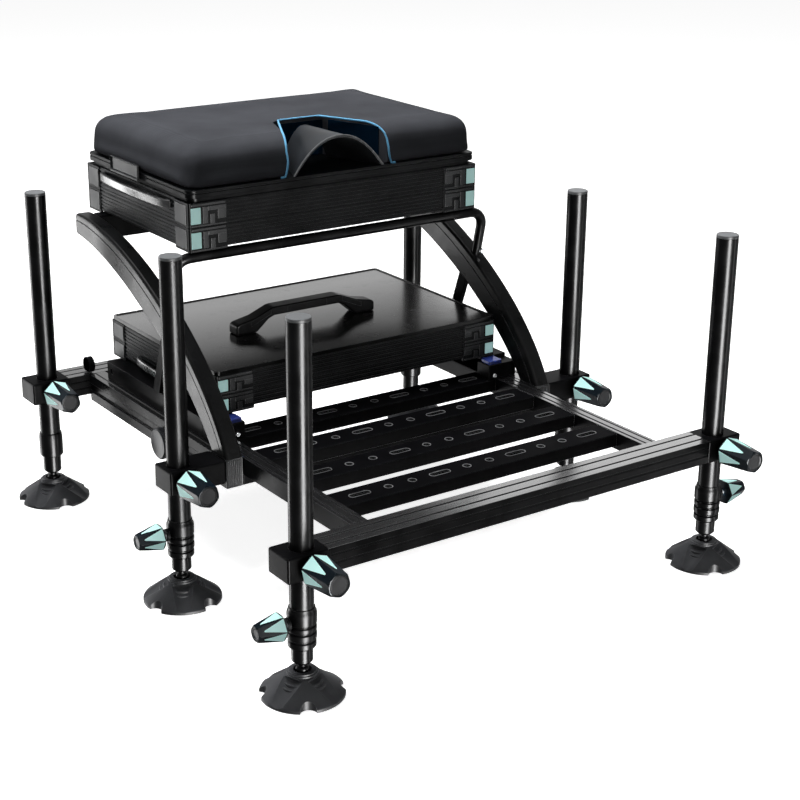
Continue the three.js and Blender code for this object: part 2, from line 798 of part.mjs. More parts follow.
// Slat: sheet folded down at both long edges, with four slots and three pairs of round holes
function slat(y) {
  const end = plateRailInner - seatGap;
  const top = deckHeight - slatDrop;
  const half = slatWidth / 2;
  const low = top - slatHeight;
  const section = [
    [y - half, low],
    [y - half, top],
    [y + half, top],
    [y + half, low],
    [y + half - slatSheet, low],
    [y + half - slatSheet, top - slatSheet],
    [y - half + slatSheet, top - slatSheet],
    [y - half + slatSheet, low],
  ];
  const slotPitch = 2 * end * slotPitchShare;
  const tools = [];
  for (const slot of [-1.5, -0.5, 0.5, 1.5]) {
    const outline = roundedRectangle(slotLength, slotWidth, slotWidth / 2, holeSides / 4);
    const placed = outline.map(([u, v]) => [u + slot * slotPitch, v + y]);
    tools.push(drawnOut("z", placed, top - slatSheet - overrun, top + overrun));
  }
  for (const pair of [-1, 0, 1]) {
    for (const hand of [-1, 1]) {
      const x = pair * slotPitch + (hand * holePitch) / 2;
      const depth = slatSheet + 2 * overrun;
      tools.push(roundBar(holeDiameter / 2, depth, holeSides, "+z", [x, y, top - slatSheet - overrun]));
    }
  }
  return cut(drawnOut("x", section, -end, end), ...tools);
}

for (let i = 0; i < slatCount; i++) {
  addPiece(seatBox, `slat_${i + 1}`, slat(firstSlat + i * slatPitch), "blackAlloy");
}

// A unit step in the [y, z] plane, a number of degrees above the floor
function heading(degrees) {
  const angle = THREE.MathUtils.degToRad(degrees);
  return new THREE.Vector2(Math.cos(angle), Math.sin(angle));
}

// Arch curve in the [y, z] plane, from its foot to its free top end
const archStart = new THREE.Vector2(archFoot, deckHeight);
const archEnd = new THREE.Vector2(archFoot + archRun, deckHeight + archRise);
const archCurve = new THREE.CubicBezierCurve(
  archStart,
  archStart.clone().addScaledVector(heading(archFootLean), archFootPull),
  archEnd.clone().addScaledVector(heading(archTopLean), -archTopPull),
  archEnd,
);

// Depth of the arch at a share t of its curve: deepest near the middle
function archDepth(t) {
  const straight = archFootDepth + (archTopDepth - archFootDepth) * t;
  return straight + 4 * t * (1 - t) * (archMidDepth - (archFootDepth + archTopDepth) / 2);
}

// A band along the arch curve between two lines, each a share of the half depth plus a distance
function archBand(low, high) {
  const upper = [];
  const lower = [];
  for (let i = -1; i <= archSteps; i++) {
    const t = Math.max(i, 0) / archSteps;
    const point = archCurve.getPoint(t);
    const along = archCurve.getTangent(t);
    if (i < 0) {
      point.addScaledVector(along, -archFootDepth);
    }
    const offset = ([share, more]) => (share * archDepth(t)) / 2 + more;
    upper.push([point.x - along.y * offset(high), point.y + along.x * offset(high)]);
    lower.push([point.x - along.y * offset(low), point.y + along.x * offset(low)]);
  }
  return [...upper, ...lower.reverse()];
}

// The arch on one side, grown by a clearance when it serves as a cutting tool
function archSolid(side, grow = 0) {
  const [near, far] = [railInner - grow, railInner + archWidth + grow];
  const [x0, x1] = side > 0 ? [near, far] : [-far, -near];
  const bevel = grow > 0 ? {} : { size: archFillet, segments: 1 };
  return drawnOut("x", archBand([-1, -grow], [1, grow]), x0, x1, [], bevel);
}

function arch(side) {
  const half = archGrooveWidth / 2;
  const groove = archBand([archGrooveShare, -half], [archGrooveShare, half]);
  const [near, far] = [side * railInner, side * (railInner + archWidth)];
  const grooves = [near, far].map((face, i) => {
    const inward = side * (i ? -1 : 1) * archGrooveDepth;
    const [x0, x1] = [face - inward, face + inward].sort((a, b) => a - b);
    return drawnOut("x", groove, x0, x1);
  });
  const floor = slab(
    near,
    far,
    archFoot - 2 * archMidDepth,
    archFoot + 2 * archMidDepth,
    deckHeight - 2 * archMidDepth,
    deckHeight + seatGap,
  );
  return cut(archSolid(side), ...grooves, floor);
}

addPiece(seatBox, "arch_left", arch(-1), "blackAlloy");
addPiece(seatBox, "arch_right", arch(1), "blackAlloy");

// Cross tube between the arches, under the back of the seat trays
const crossTubeTop = seatCornerFoot - seatGap;
const crossTube = slab(
  seatGap - railInner,
  railInner - seatGap,
  crossTubeY - crossTubeDepth / 2,
  crossTubeY + crossTubeDepth / 2,
  crossTubeTop - crossTubeHeight,
  crossTubeTop,
);
addPiece(seatBox, "rear_cross_tube", crossTube, "blackAlloy");

// Bent tube under the front of the seat trays, standing on both arches
function seatSupportTube() {
  const radius = supportTubeDiameter / 2;
  const top = seatCornerFoot - seatGap - radius;
  const reach = railInner + archWidth / 2 - supportTubeBend;
  const leg = new THREE.Vector3(0, supportTubeFoot - supportTubeY, archHeight(supportTubeFoot) - top);
  const down = leg.clone().normalize();
  const across = new THREE.Vector3(1, 0, 0).cross(down);
  const ring = (side, angle, fall) => {
    const out = new THREE.Vector3(side * Math.sin(angle), 0, 0).addScaledVector(down, -Math.cos(angle));
    const centre = new THREE.Vector3(side * reach, supportTubeY, top);
    centre.addScaledVector(down, supportTubeBend + fall).addScaledVector(out, supportTubeBend);
    const points = [];
    for (let i = 0; i < supportTubeSides; i++) {
      const turn = ((i + 0.5) * 2 * Math.PI) / supportTubeSides;
      const point = centre.clone().addScaledVector(out, radius * Math.cos(turn));
      points.push(point.addScaledVector(across, radius * Math.sin(turn)).toArray());
    }
    return points;
  };
  const bend = [];
  for (let i = 0; i <= bendSteps; i++) {
    bend.push((i / bendSteps) * (Math.PI / 2));
  }
  const rings = [
    ring(-1, Math.PI / 2, leg.length() - supportTubeBend),
    ...bend.toReversed().map((angle) => ring(-1, angle, 0)),
    ...bend.map((angle) => ring(1, angle, 0)),
    ring(1, Math.PI / 2, leg.length() - supportTubeBend),
  ];
  return cut(solidOf(lofted(rings)), archSolid(-1, seatGap), archSolid(1, seatGap));
}

// Height of the arch's centre line at a depth y
function archHeight(y) {
  let [low, high] = [0, 1];
  for (let i = 0; i < archSteps; i++) {
    const middle = (low + high) / 2;
    if (archCurve.getPoint(middle).x < y) low = middle;
    else high = middle;
  }
  return archCurve.getPoint(low).y;
}

addPiece(seatBox, "seat_support_tube", seatSupportTube(), "blackAlloy");

// Bowed grab handle on a tray's side, with its ends on the wall
function grabHandle(side, wallX, centre, { length, z, bulge, thickness }) {
  const outer = [];
  const inner = [];
  for (let i = 0; i <= grabSteps; i++) {
    const share = i / grabSteps;
    const bow = Math.sin(Math.PI * share) ** grabFlatness;
    const y = centre + length * (share - 1 / 2);
    const innerY = centre + (length - 2 * thickness) * (share - 1 / 2);
    outer.push([wallX + side * (thickness / 2 + (bulge - thickness / 2) * bow), y]);
    inner.push([wallX + side * ((bulge - thickness) * bow - (trayWall / 2) * (1 - bow)), innerY]);
  }
  return drawnOut("z", [...outer, ...inner.reverse()], z, z + grabHeight);
}

// Tray: ribbed walls on a floor, with a clip block round each corner
function tray({ width, depth, front, floor, foot, top, handle }) {
  const centre = front + depth / 2;
  const rectangle = (w, d) => {
    const [x, y] = [w / 2, d / 2];
    return [[-x, centre - y], [x, centre - y], [x, centre + y], [-x, centre + y]];
  };
  const ring = (proud, z0, z1) => {
    const inside = rectangle(width - 2 * trayWall, depth - 2 * trayWall);
    return drawnOut("z", rectangle(width + 2 * proud, depth + 2 * proud), z0, z1, [inside]);
  };
  const parts = [ring(-trayRib, floor, top)];
  const lean = width / 2 - trayRib;
  const [y0, y1] = [centre - depth / 2 + trayRib, centre + depth / 2 - trayRib];
  parts.push(slab(-lean, lean, y0, y1, floor, floor + trayFloor));
  const pitch = (top - floor) / trayRibs;
  for (let i = 0; i < trayRibs; i++) {
    const middle = floor + (i + 0.5) * pitch;
    parts.push(ring(0, middle - trayRibHeight / 2, middle + trayRibHeight / 2));
  }
  for (const sx of [-1, 1]) {
    for (const sy of [-1, 1]) {
      const outerX = sx * (width / 2 + clipProud - trayRib);
      const outerY = centre + sy * (depth / 2 + clipProud - trayRib);
      const innerX = sx * (width / 2 - clipFrontLength);
      const innerY = centre + sy * (depth / 2 - clipSideLength);
      const block = slab(outerX, innerX, outerY, innerY, foot, top);
      const room = slab(
        sx * (width / 2 - trayWall),
        innerX - sx * overrun,
        centre + sy * (depth / 2 - trayWall),
        innerY - sy * overrun,
        floor + trayFloor,
        top + overrun,
      );
      parts.push(cut(block, room));
    }
  }
  if (handle) {
    for (const side of [-1, 1]) {
      parts.push(grabHandle(side, side * (width / 2 - trayRib), centre, handle));
    }
  }
  return join(...parts);
}

// Knuckles of a hinge along X or Y: the outer pair with the pin through them, or the bored middle one
function knuckles(kind, along, middle, place) {
  const direction = `+${along}`;
  const at = (start) => (along === "x" ? [start, place[0], place[1]] : [place[0], start, place[1]]);
  const half = knuckleLength / 2;
  if (kind === "middle") {
    const barrel = roundBar(knuckleRadius, knuckleLength, knuckleSides, direction, at(middle - half));
    const bore = roundBar(
      knucklePin + runGap,
      knuckleLength + 2 * overrun,
      knuckleSides,
      direction,
      at(middle - half - overrun),
    );
    return cut(barrel, bore);
  }
  const pieces = [-1, 1].map((hand) => {
    const start = hand < 0 ? middle - half - runGap - half : middle + half + runGap;
    return roundBar(knuckleRadius, half, knuckleSides, direction, at(start));
  });
  const pinLength = knuckleLength + 2 * runGap + half;
  const pin = roundBar(knucklePin, pinLength, knuckleSides, direction, at(middle - pinLength / 2));
  return join(...pieces, pin);
}

const seatHingeX = seatWidth / 2 + hingeOffset;
const seatHingeZ = seatTrayTop + lidShadowGap / 2;
const seatCentreY = seatFront + seatDepth / 2;
const boxHingeY = boxBack + hingeOffset;
const boxHingeZ = boxTrayTop - knuckleRadius / 2;
const spread = [-hingeSpread / 2, hingeSpread / 2];

// Upper trays under the seat
const seatTierJoint = (seatTrayTop + seatCornerFoot) / 2;
const seatTray = { width: seatWidth, depth: seatDepth, front: seatFront };
const seatTop = tray({
  ...seatTray,
  floor: seatTierJoint + seatGap / 2,
  foot: seatTierJoint + seatGap / 2,
  top: seatTrayTop,
  handle: {
    length: seatGrabLength,
    z: seatTrayTop - seatGrabDrop - grabHeight,
    bulge: seatGrabBulge,
    thickness: seatGrabThickness,
  },
});

// A tray's leaf that carries the outer knuckles of the seat hinge
function seatHingeLeaf(middle) {
  const half = knuckleLength / 2;
  const wall = seatWidth / 2 - trayRib - trayWall / 2;
  const leaves = [-1, 1].map((hand) => {
    const near = middle + hand * (half + runGap);
    return slab(wall, seatHingeX, near, near + hand * half, seatHingeZ - 2 * knuckleRadius, seatTrayTop);
  });
  const barrels = knuckles("outer", "y", middle, [seatHingeX, seatHingeZ]);
  return join(barrels, ...leaves);
}

// The latch turns on a small barrel that the tray's wall carries between two ears.
function latchEars() {
  const z = seatTrayTop + latchLift;
  const x = -seatWidth / 2 - clipProud - latchBarrel;
  return [-1, 1].map((hand) => {
    const near = latchY + hand * (latchLength / 2 + runGap);
    const far = near + hand * latchFrame;
    const arm = slab(x - latchBarrel, x + latchBarrel, near, far, seatTrayTop - latchFrame, z + latchBarrel);
    const root = slab(x, trayWall / 2 - seatWidth / 2, near, far, seatTrayTop - latchFrame, seatTrayTop);
    return join(arm, root);
  });
}

const seatTopHinged = join(seatTop, ...spread.map((s) => seatHingeLeaf(seatCentreY + s)), ...latchEars());
addPiece(seatBox, "seat_tray_upper", seatTopHinged, "blackPlastic");
const seatLower = tray({
  ...seatTray,
  floor: seatTrayFloor,
  foot: seatCornerFoot,
  top: seatTierJoint - seatGap / 2,
});
addPiece(seatBox, "seat_tray_lower", seatLower, "blackPlastic");

// Seat lid: a plate on a lip that stands on the tray's rim, with its hinge knuckles
function seatLid() {
  const place = (points) => points.map(([x, y]) => [x, y + seatCentreY]);
  const plate = place(roundedRectangle(seatWidth, seatDepth, lidCorner, 4));
  const lipOuter = place(roundedRectangle(seatWidth - lidLip, seatDepth - lidLip, lidCorner, 2));
  const lipInner = place(roundedRectangle(seatWidth - 3 * lidLip, seatDepth - 3 * lidLip, lidCorner, 2));
  const low = seatTrayTop + seatGap;
  const body = join(
    drawnOut("z", plate, lidUnderside, lidUnderside + lidPlate),
    drawnOut("z", lipOuter, low, lidUnderside + lidPlate / 2, [lipInner]),
  );
  const half = knuckleLength / 2;
  const leaves = spread.map((s) => {
    const middle = seatCentreY + s;
    const leaf = slab(
      seatWidth / 2 - lidLip,
      seatHingeX,
      middle - half,
      middle + half,
      lidUnderside,
      lidUnderside + knuckleRadius,
    );
    const barrel = knuckles("middle", "y", middle, [seatHingeX, seatHingeZ]);
    const reach = knuckleRadius + runGap;
    const room = [-1, 1].map((hand) => {
      const near = middle + hand * half;
      const [x0, x1] = [seatHingeX - reach, seatHingeX + reach];
      return slab(x0, x1, near, near + hand * 2 * half, low, seatHingeZ + reach);
    });
    return { add: join(leaf, barrel), room };
  });
  return cut(join(body, ...leaves.map((l) => l.add)), ...leaves.flatMap((l) => l.room));
}

addPiece(seatBox, "seat_lid", seatLid(), "blackPlastic");

// Seat latch: a framed plate on a barrel, standing over the lid's edge
function seatLatch() {
  const [y0, y1] = [latchY - latchLength / 2, latchY + latchLength / 2];
  const plate = slab(0, -latchThickness, y0, y1, 0, latchHeight);
  const panel = slab(
    latchPanelDepth - latchThickness,
    -latchThickness - overrun,
    y0 + latchFrame,
    y1 - latchFrame,
    latchFrame + latchBarrel,
    latchHeight - latchFrame,
  );
  const barrel = roundBar(latchBarrel, latchLength, knuckleSides, "+y", [-latchBarrel, y0, 0]);
  return join(cut(plate, panel), barrel);
}

const latch = addPiece(seatBox, "seat_latch", seatLatch(), "blackPlastic");
latch.position.set(-seatWidth / 2 - clipProud, 0, seatTrayTop + latchLift);

// Cushion: drawn-in sides, round shoulders, a low crown and a notch in its front edge
function cushion() {
  const width = seatWidth - 2 * cushionInset;
  const depth = seatDepth - 2 * cushionInset;
  const height = cushionHeight - cushionCrown;
  const levels = [[0, 0], [0, (height - cushionShoulder) / 2], [0, height - cushionShoulder]];
  const shoulderSteps = 5;
  for (let i = 1; i <= shoulderSteps; i++) {
    const angle = (i / shoulderSteps) * (Math.PI / 2);
    const inset = cushionShoulder * (1 - Math.cos(angle));
    levels.push([inset, height - cushionShoulder + cushionShoulder * Math.sin(angle)]);
  }
  const ring = (w, d, radius, z) =>
    roundedRectangle(w, d, radius, 4).map(([x, y]) => {
      const [u, v] = [(2 * x) / width, (2 * y) / depth];
      const drawnX = x * (1 - drawInShare * (1 - v * v));
      const drawnY = y * (1 - drawInShare * (1 - u * u));
      return [drawnX, drawnY + seatCentreY, cushionBottom + z];
    });
  const rings = levels.map(([inset, z]) => ring(width - 2 * inset, depth - 2 * inset, cushionCorner, z));
  const [topWidth, topDepth] = [width - 2 * cushionShoulder, depth - 2 * cushionShoulder];
  for (const share of crownShares) {
    const z = height + cushionCrown * (1 - share * share);
    rings.push(ring(topWidth * share, topDepth * share, cushionCorner * share, z));
  }
  const [front, back] = [notchFront / 2, notchBack / 2];
  const flare = ((front - back) * overrun) / notchDepth;
  const notch = [
    [-front - flare, seatFront - overrun],
    [front + flare, seatFront - overrun],
    [back, seatFront + notchDepth],
    [-back, seatFront + notchDepth],
  ];
  const tool = drawnOut("z", notch, cushionBottom - overrun, cushionBottom + cushionHeight + overrun);
  return cut(solidOf(lofted(rings)), tool);
}

addPiece(seatBox, "seat_cushion", cushion(), "fabric");

// Bridge: a thin arched sheet in the notch that narrows to the back, open underneath
function bridge() {
  const rings = [];
  for (const share of bridgeShares) {
    const y = seatFront + runGap + bridgeDepth * share;
    const half = (bridgeFrontWidth + (bridgeBackWidth - bridgeFrontWidth) * share) / 2;
    const arc = (inset) => {
      const points = [];
      for (let i = 0; i <= bridgeSteps; i++) {
        const angle = Math.PI * (1 - i / bridgeSteps);
        const x = (half - inset) * Math.cos(angle);
        points.push([x, y, cushionBottom + (bridgeHeight - inset) * Math.sin(angle)]);
      }
      return points;
    };
    rings.push([...arc(0), ...arc(bridgeSheet).reverse()]);
  }
  return solidOf(lofted(rings, true));
}

addPiece(seatBox, "seat_bridge", bridge(), "greyPlastic");

// Lower box: two trays like those of the seat, and a flat lid with a raised rim
const boxTierJoint = (boxTrayTop + boxCornerFoot) / 2;
const boxTray = { width: boxWidth, depth: boxDepth, front: boxFront };
const boxTop = tray({
  ...boxTray,
  floor: boxTierJoint + seatGap / 2,
  foot: boxTierJoint + seatGap / 2,
  top: boxTrayTop,
});

function boxHingeLeaf(middle) {
  const half = knuckleLength / 2;
  const wall = boxBack - trayRib - trayWall / 2;
  const leaves = [-1, 1].map((hand) => {
    const near = middle + hand * (half + runGap);
    const [low, high] = [boxHingeZ - 2 * knuckleRadius, boxHingeZ];
    return slab(near, near + hand * half, wall, boxHingeY, low, high);
  });
  return join(knuckles("outer", "x", middle, [boxHingeY, boxHingeZ]), ...leaves);
}

addPiece(seatBox, "box_tray_upper", join(boxTop, ...spread.map(boxHingeLeaf)), "blackPlastic");
const boxLower = tray({
  ...boxTray,
  floor: boxTrayFloor,
  foot: boxCornerFoot,
  top: boxTierJoint - seatGap / 2,
  handle: {
    length: boxGrabLength,
    z: boxTrayFloor + boxGrabLift,
    bulge: boxToRail + trayRib - boxGrabToRail,
    thickness: boxGrabThickness,
  },
});
addPiece(seatBox, "box_tray_lower", boxLower, "blackPlastic");

function boxLid() {
  const centre = boxFront + boxDepth / 2;
  const place = (points) => points.map(([x, y]) => [x, y + centre]);
  const outline = place(roundedRectangle(boxWidth, boxDepth, lidCorner / 2, 2));
  const inset = 2 * boxLidRimWidth;
  const field = place(roundedRectangle(boxWidth - inset, boxDepth - inset, lidCorner / 2, 2));
  const [low, top] = [boxTrayTop + seatGap, boxTrayTop + seatGap + boxLidThickness];
  const plate = cut(drawnOut("z", outline, low, top), drawnOut("z", field, top - boxLidRim, top + overrun));
  const half = knuckleLength / 2;
  const reach = knuckleRadius + runGap;
  const leaves = spread.map((middle) => {
    const leaf = slab(middle - half, middle + half, boxBack - lidLip, boxHingeY, low, low + knuckleRadius);
    const arm = slab(
      middle - half,
      middle + half,
      boxBack + seatGap + clipProud - trayRib,
      boxHingeY + knuckleRadius / 2,
      boxHingeZ,
      low + knuckleRadius / 2,
    );
    const pinStart = [middle - 2 * half, boxHingeY, boxHingeZ];
    const pin = roundBar(knucklePin + runGap, 4 * half, knuckleSides, "+x", pinStart);
    return cut(join(leaf, arm, knuckles("middle", "x", middle, [boxHingeY, boxHingeZ])), pin);
  });
  const rooms = spread.flatMap((middle) =>
    [-1, 1].map((hand) => {
      const near = middle + hand * half;
      const [y0, y1] = [boxHingeY - reach, boxHingeY + reach];
      return slab(near, near + hand * 2 * half, y0, y1, low - overrun, boxHingeZ + reach);
    }),
  );
  return cut(join(plate, ...leaves), ...rooms);
}

addPiece(seatBox, "box_lid", boxLid(), "satinLid");

// Carrying handle: sloping arms between two feet and a raised grip
function lidHandle() {
  const [end, knee, grip] = [handleLength / 2, handleKnee / 2, handleGrip / 2];
  const under = handleHeight - handleThickness;
  const outline = [
    [-end, 0],
    [-end, handleEndHeight],
    [-knee, handleKneeHeight],
    [-grip, handleHeight],
    [grip, handleHeight],
    [knee, handleKneeHeight],
    [end, handleEndHeight],
    [end, 0],
    [end - handleFoot, 0],
    [grip, under],
    [-grip, under],
    [handleFoot - end, 0],
  ];
  const bevel = { size: handleThickness / 4, segments: 1 };
  return drawnOut("y", outline, -handleWidth / 2, handleWidth / 2, [], bevel);
}

const handle = addPiece(seatBox, "box_lid_handle", lidHandle(), "blackPlastic");
handle.position.set(-handleShift, handleY, boxTrayTop + boxLidThickness - boxLidRim + 2 * seatGap);

// Box support: a channel on the main rail with a brace post to the arch and a catch block in front
function boxSupport(side) {
  const [inner, outer] = [side * supportInner, side * supportOuter];
  const [low, top] = [deckHeight + seatGap, boxCornerFoot - seatGap];
  const web = outer - side * supportSheet;
  const outline = [
    [inner, low],
    [outer, low],
    [outer, top],
    [inner, top],
    [inner, top - supportSheet],
    [web, top - supportSheet],
    [web, low + supportSheet],
    [inner, low + supportSheet],
  ];
  const start = boxFront - runGap;
  const channel = drawnOut("y", outline, start, supportEnd);
  const blockTop = catchTop - catchBlockDrop;
  const block = slab(side * catchInner, outer, catchFront, start + supportSheet, low, blockTop);
  const pocketX = side * (catchInner + catchMargin);
  const pocketY = catchFront + catchMargin;
  const pocket = slab(
    pocketX,
    pocketX + side * (catchWidth + 2 * runGap),
    pocketY,
    pocketY + catchLength + 2 * runGap,
    catchTop - catchPocket - catchTravel,
    catchTop,
  );
  const postOuter = side * supportOuter;
  const postInner = side * (supportOuter - braceThickness);
  const post = [
    [braceFoot - braceWidth / 2, top - supportSheet],
    [braceFoot + braceWidth / 2, top - supportSheet],
    [braceFoot + braceWidth / 2 - braceLean, top + braceHeight],
    [braceFoot - braceWidth / 2 - braceLean, top + braceHeight],
  ];
  const [x0, x1] = [postInner, postOuter].sort((a, b) => a - b);
  const brace = cut(drawnOut("x", post, x0, x1), archSolid(side, seatGap), aboveArch(side));
  return cut(join(channel, block, brace), pocket);
}

// Everything above the arch's centre line, to trim a post that stops under it
function aboveArch(side) {
  const line = archBand([0, 0], [0, archRise]);
  const [x0, x1] = [side * supportInner, side * (mainRailOuter + archWidth)].sort((a, b) => a - b);
  return drawnOut("x", line, x0, x1);
}

// Catch button: a blue cap in the block's pocket, just under the box that slides over it
function catchButton() {
  const c = blockChamfer / 2;
  const [w, l] = [catchWidth / 2, catchLength / 2];
  const body = slab(-w, w, -l, l, catchBottom, catchTop - c);
  const cap = slab(c - w, w - c, c - l, l - c, catchBottom, catchTop);
  return join(body, cap);
}

for (const [hand, side] of [["left", -1], ["right", 1]]) {
  addPiece(seatBox, `box_support_${hand}`, boxSupport(side), "blackAlloy");
  const button = addPiece(seatBox, `box_catch_${hand}`, catchButton(), "blueButton");
  const middle = catchInner + catchMargin + runGap + catchWidth / 2;
  button.position.set(side * middle, catchFront + catchMargin + runGap + catchLength / 2, 0);
}

export default seatBox;
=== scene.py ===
"""A fishing seat box in a plain studio: every visible piece modelled and finished over its fixed frame."""
import sys
import json
import logging
import math
from dataclasses import dataclass
from enum import Enum
from typing import Callable, Sequence

import bmesh
import bpy
from mathutils import Matrix, Quaternion, Vector


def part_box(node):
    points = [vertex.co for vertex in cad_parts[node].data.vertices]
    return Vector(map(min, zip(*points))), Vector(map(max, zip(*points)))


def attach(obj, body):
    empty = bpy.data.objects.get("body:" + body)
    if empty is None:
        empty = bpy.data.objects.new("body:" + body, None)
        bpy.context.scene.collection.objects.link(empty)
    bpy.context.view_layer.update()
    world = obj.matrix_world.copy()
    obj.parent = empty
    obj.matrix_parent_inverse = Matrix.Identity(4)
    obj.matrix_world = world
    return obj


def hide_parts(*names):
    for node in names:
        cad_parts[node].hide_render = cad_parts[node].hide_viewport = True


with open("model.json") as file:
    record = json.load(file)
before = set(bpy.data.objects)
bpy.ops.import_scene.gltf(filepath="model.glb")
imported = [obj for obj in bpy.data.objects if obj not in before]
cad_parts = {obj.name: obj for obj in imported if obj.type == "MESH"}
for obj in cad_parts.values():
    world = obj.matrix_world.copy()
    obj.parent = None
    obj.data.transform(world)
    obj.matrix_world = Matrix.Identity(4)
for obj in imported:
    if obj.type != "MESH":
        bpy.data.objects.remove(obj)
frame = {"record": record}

log = logging.getLogger("seat_box")

UNIT = 0.001  # sizes are written in millimetres, and a piece is brought to metres when it is dressed
MERGE = 0.0005  # vertices closer than this are merged
FACING = 0.9  # a face looks along an axis where that part of its normal is larger than this
FULL_TURN = 2 * math.pi
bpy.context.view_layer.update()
BODY_OF = {node: body for body, nodes in frame["record"]["behaviour"]["bodies"].items() for node in nodes}
HANDS = (("left", -1), ("right", 1))

Colour = tuple[float, float, float]
Point = Sequence[float]


def span(node: str) -> tuple[Vector, Vector]:
    """Lowest and highest corner of a node of the frame, in millimetres."""
    low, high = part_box(node)
    return low / UNIT, high / UNIT


def mixed(start: float, end: float, share: float) -> float:
    """The value at a share of the way from start to end."""
    return start + (end - start) * share


class Graph:
    """The node tree of one material, with short calls to add and join nodes."""

    def __init__(self, name: str) -> None:
        """Starts an empty tree with the surface shader and its output.

        Args:
            name: The material's name.
        """
        self.material = bpy.data.materials.new(name)
        self.material.use_nodes = True
        self.tree = self.material.node_tree
        self.tree.nodes.clear()
        self.shader = self.add("ShaderNodeBsdfPrincipled")
        output = self.add("ShaderNodeOutputMaterial")
        self.join(self.shader, "BSDF", output, "Surface")

    def add(self, kind: str, **values: object) -> bpy.types.Node:
        """Adds a node of a kind and sets its properties and sockets.

        Args:
            kind: Blender's name for the node type.
            values: properties of the node, or sockets with spaces written as underscores.

        Returns:
            The new node.
        """
        node = self.tree.nodes.new(kind)
        for key, value in values.items():
            if hasattr(node, key):
                setattr(node, key, value)
            else:
                node.inputs[key.replace("_", " ")].default_value = value
        return node

    def join(self, source: bpy.types.Node, output: str | int, target: bpy.types.Node, socket: str | int) -> None:
        """Links an output of one node to a socket of another."""
        self.tree.links.new(source.outputs[output], target.inputs[socket])

    def place(self, stretch: Point = (1.0, 1.0, 1.0)) -> bpy.types.Node:
        """Object coordinates, stretched along the axes.

        Args:
            stretch: factor along each axis.

        Returns:
            The mapping node that gives them.
        """
        coordinates = self.add("ShaderNodeTexCoord")
        mapping = self.add("ShaderNodeMapping", Scale=stretch)
        self.join(coordinates, "Object", mapping, "Vector")
        return mapping

    def noise(self, place: bpy.types.Node, scale: float, detail: float = 2.0) -> bpy.types.Node:
        """A noise texture on the given coordinates.

        Args:
            place: the node that gives the coordinates.
            scale: how fine the noise is.
            detail: how many finer layers it has.

        Returns:
            The noise node.
        """
        noise = self.add("ShaderNodeTexNoise", Scale=scale, Detail=detail)
        self.join(place, "Vector", noise, "Vector")
        return noise

    def ramp(self, low: float, high: float, start: Colour, end: Colour) -> bpy.types.Node:
        """A colour ramp between two places and two colours.

        Args:
            low: place of the first colour.
            high: place of the second colour.
            start: the first colour.
            end: the second colour.

        Returns:
            The ramp node.
        """
        ramp = self.add("ShaderNodeValToRGB")
        first, last = ramp.color_ramp.elements
        first.position, last.position = low, high
        first.color, last.color = (*start, 1.0), (*end, 1.0)
        return ramp

    def spread(self, low: float, high: float) -> bpy.types.Node:
        """Maps the middle of a noise to a range of values."""
        return self.add("ShaderNodeMapRange", From_Min=0.3, From_Max=0.7, To_Min=low, To_Max=high)


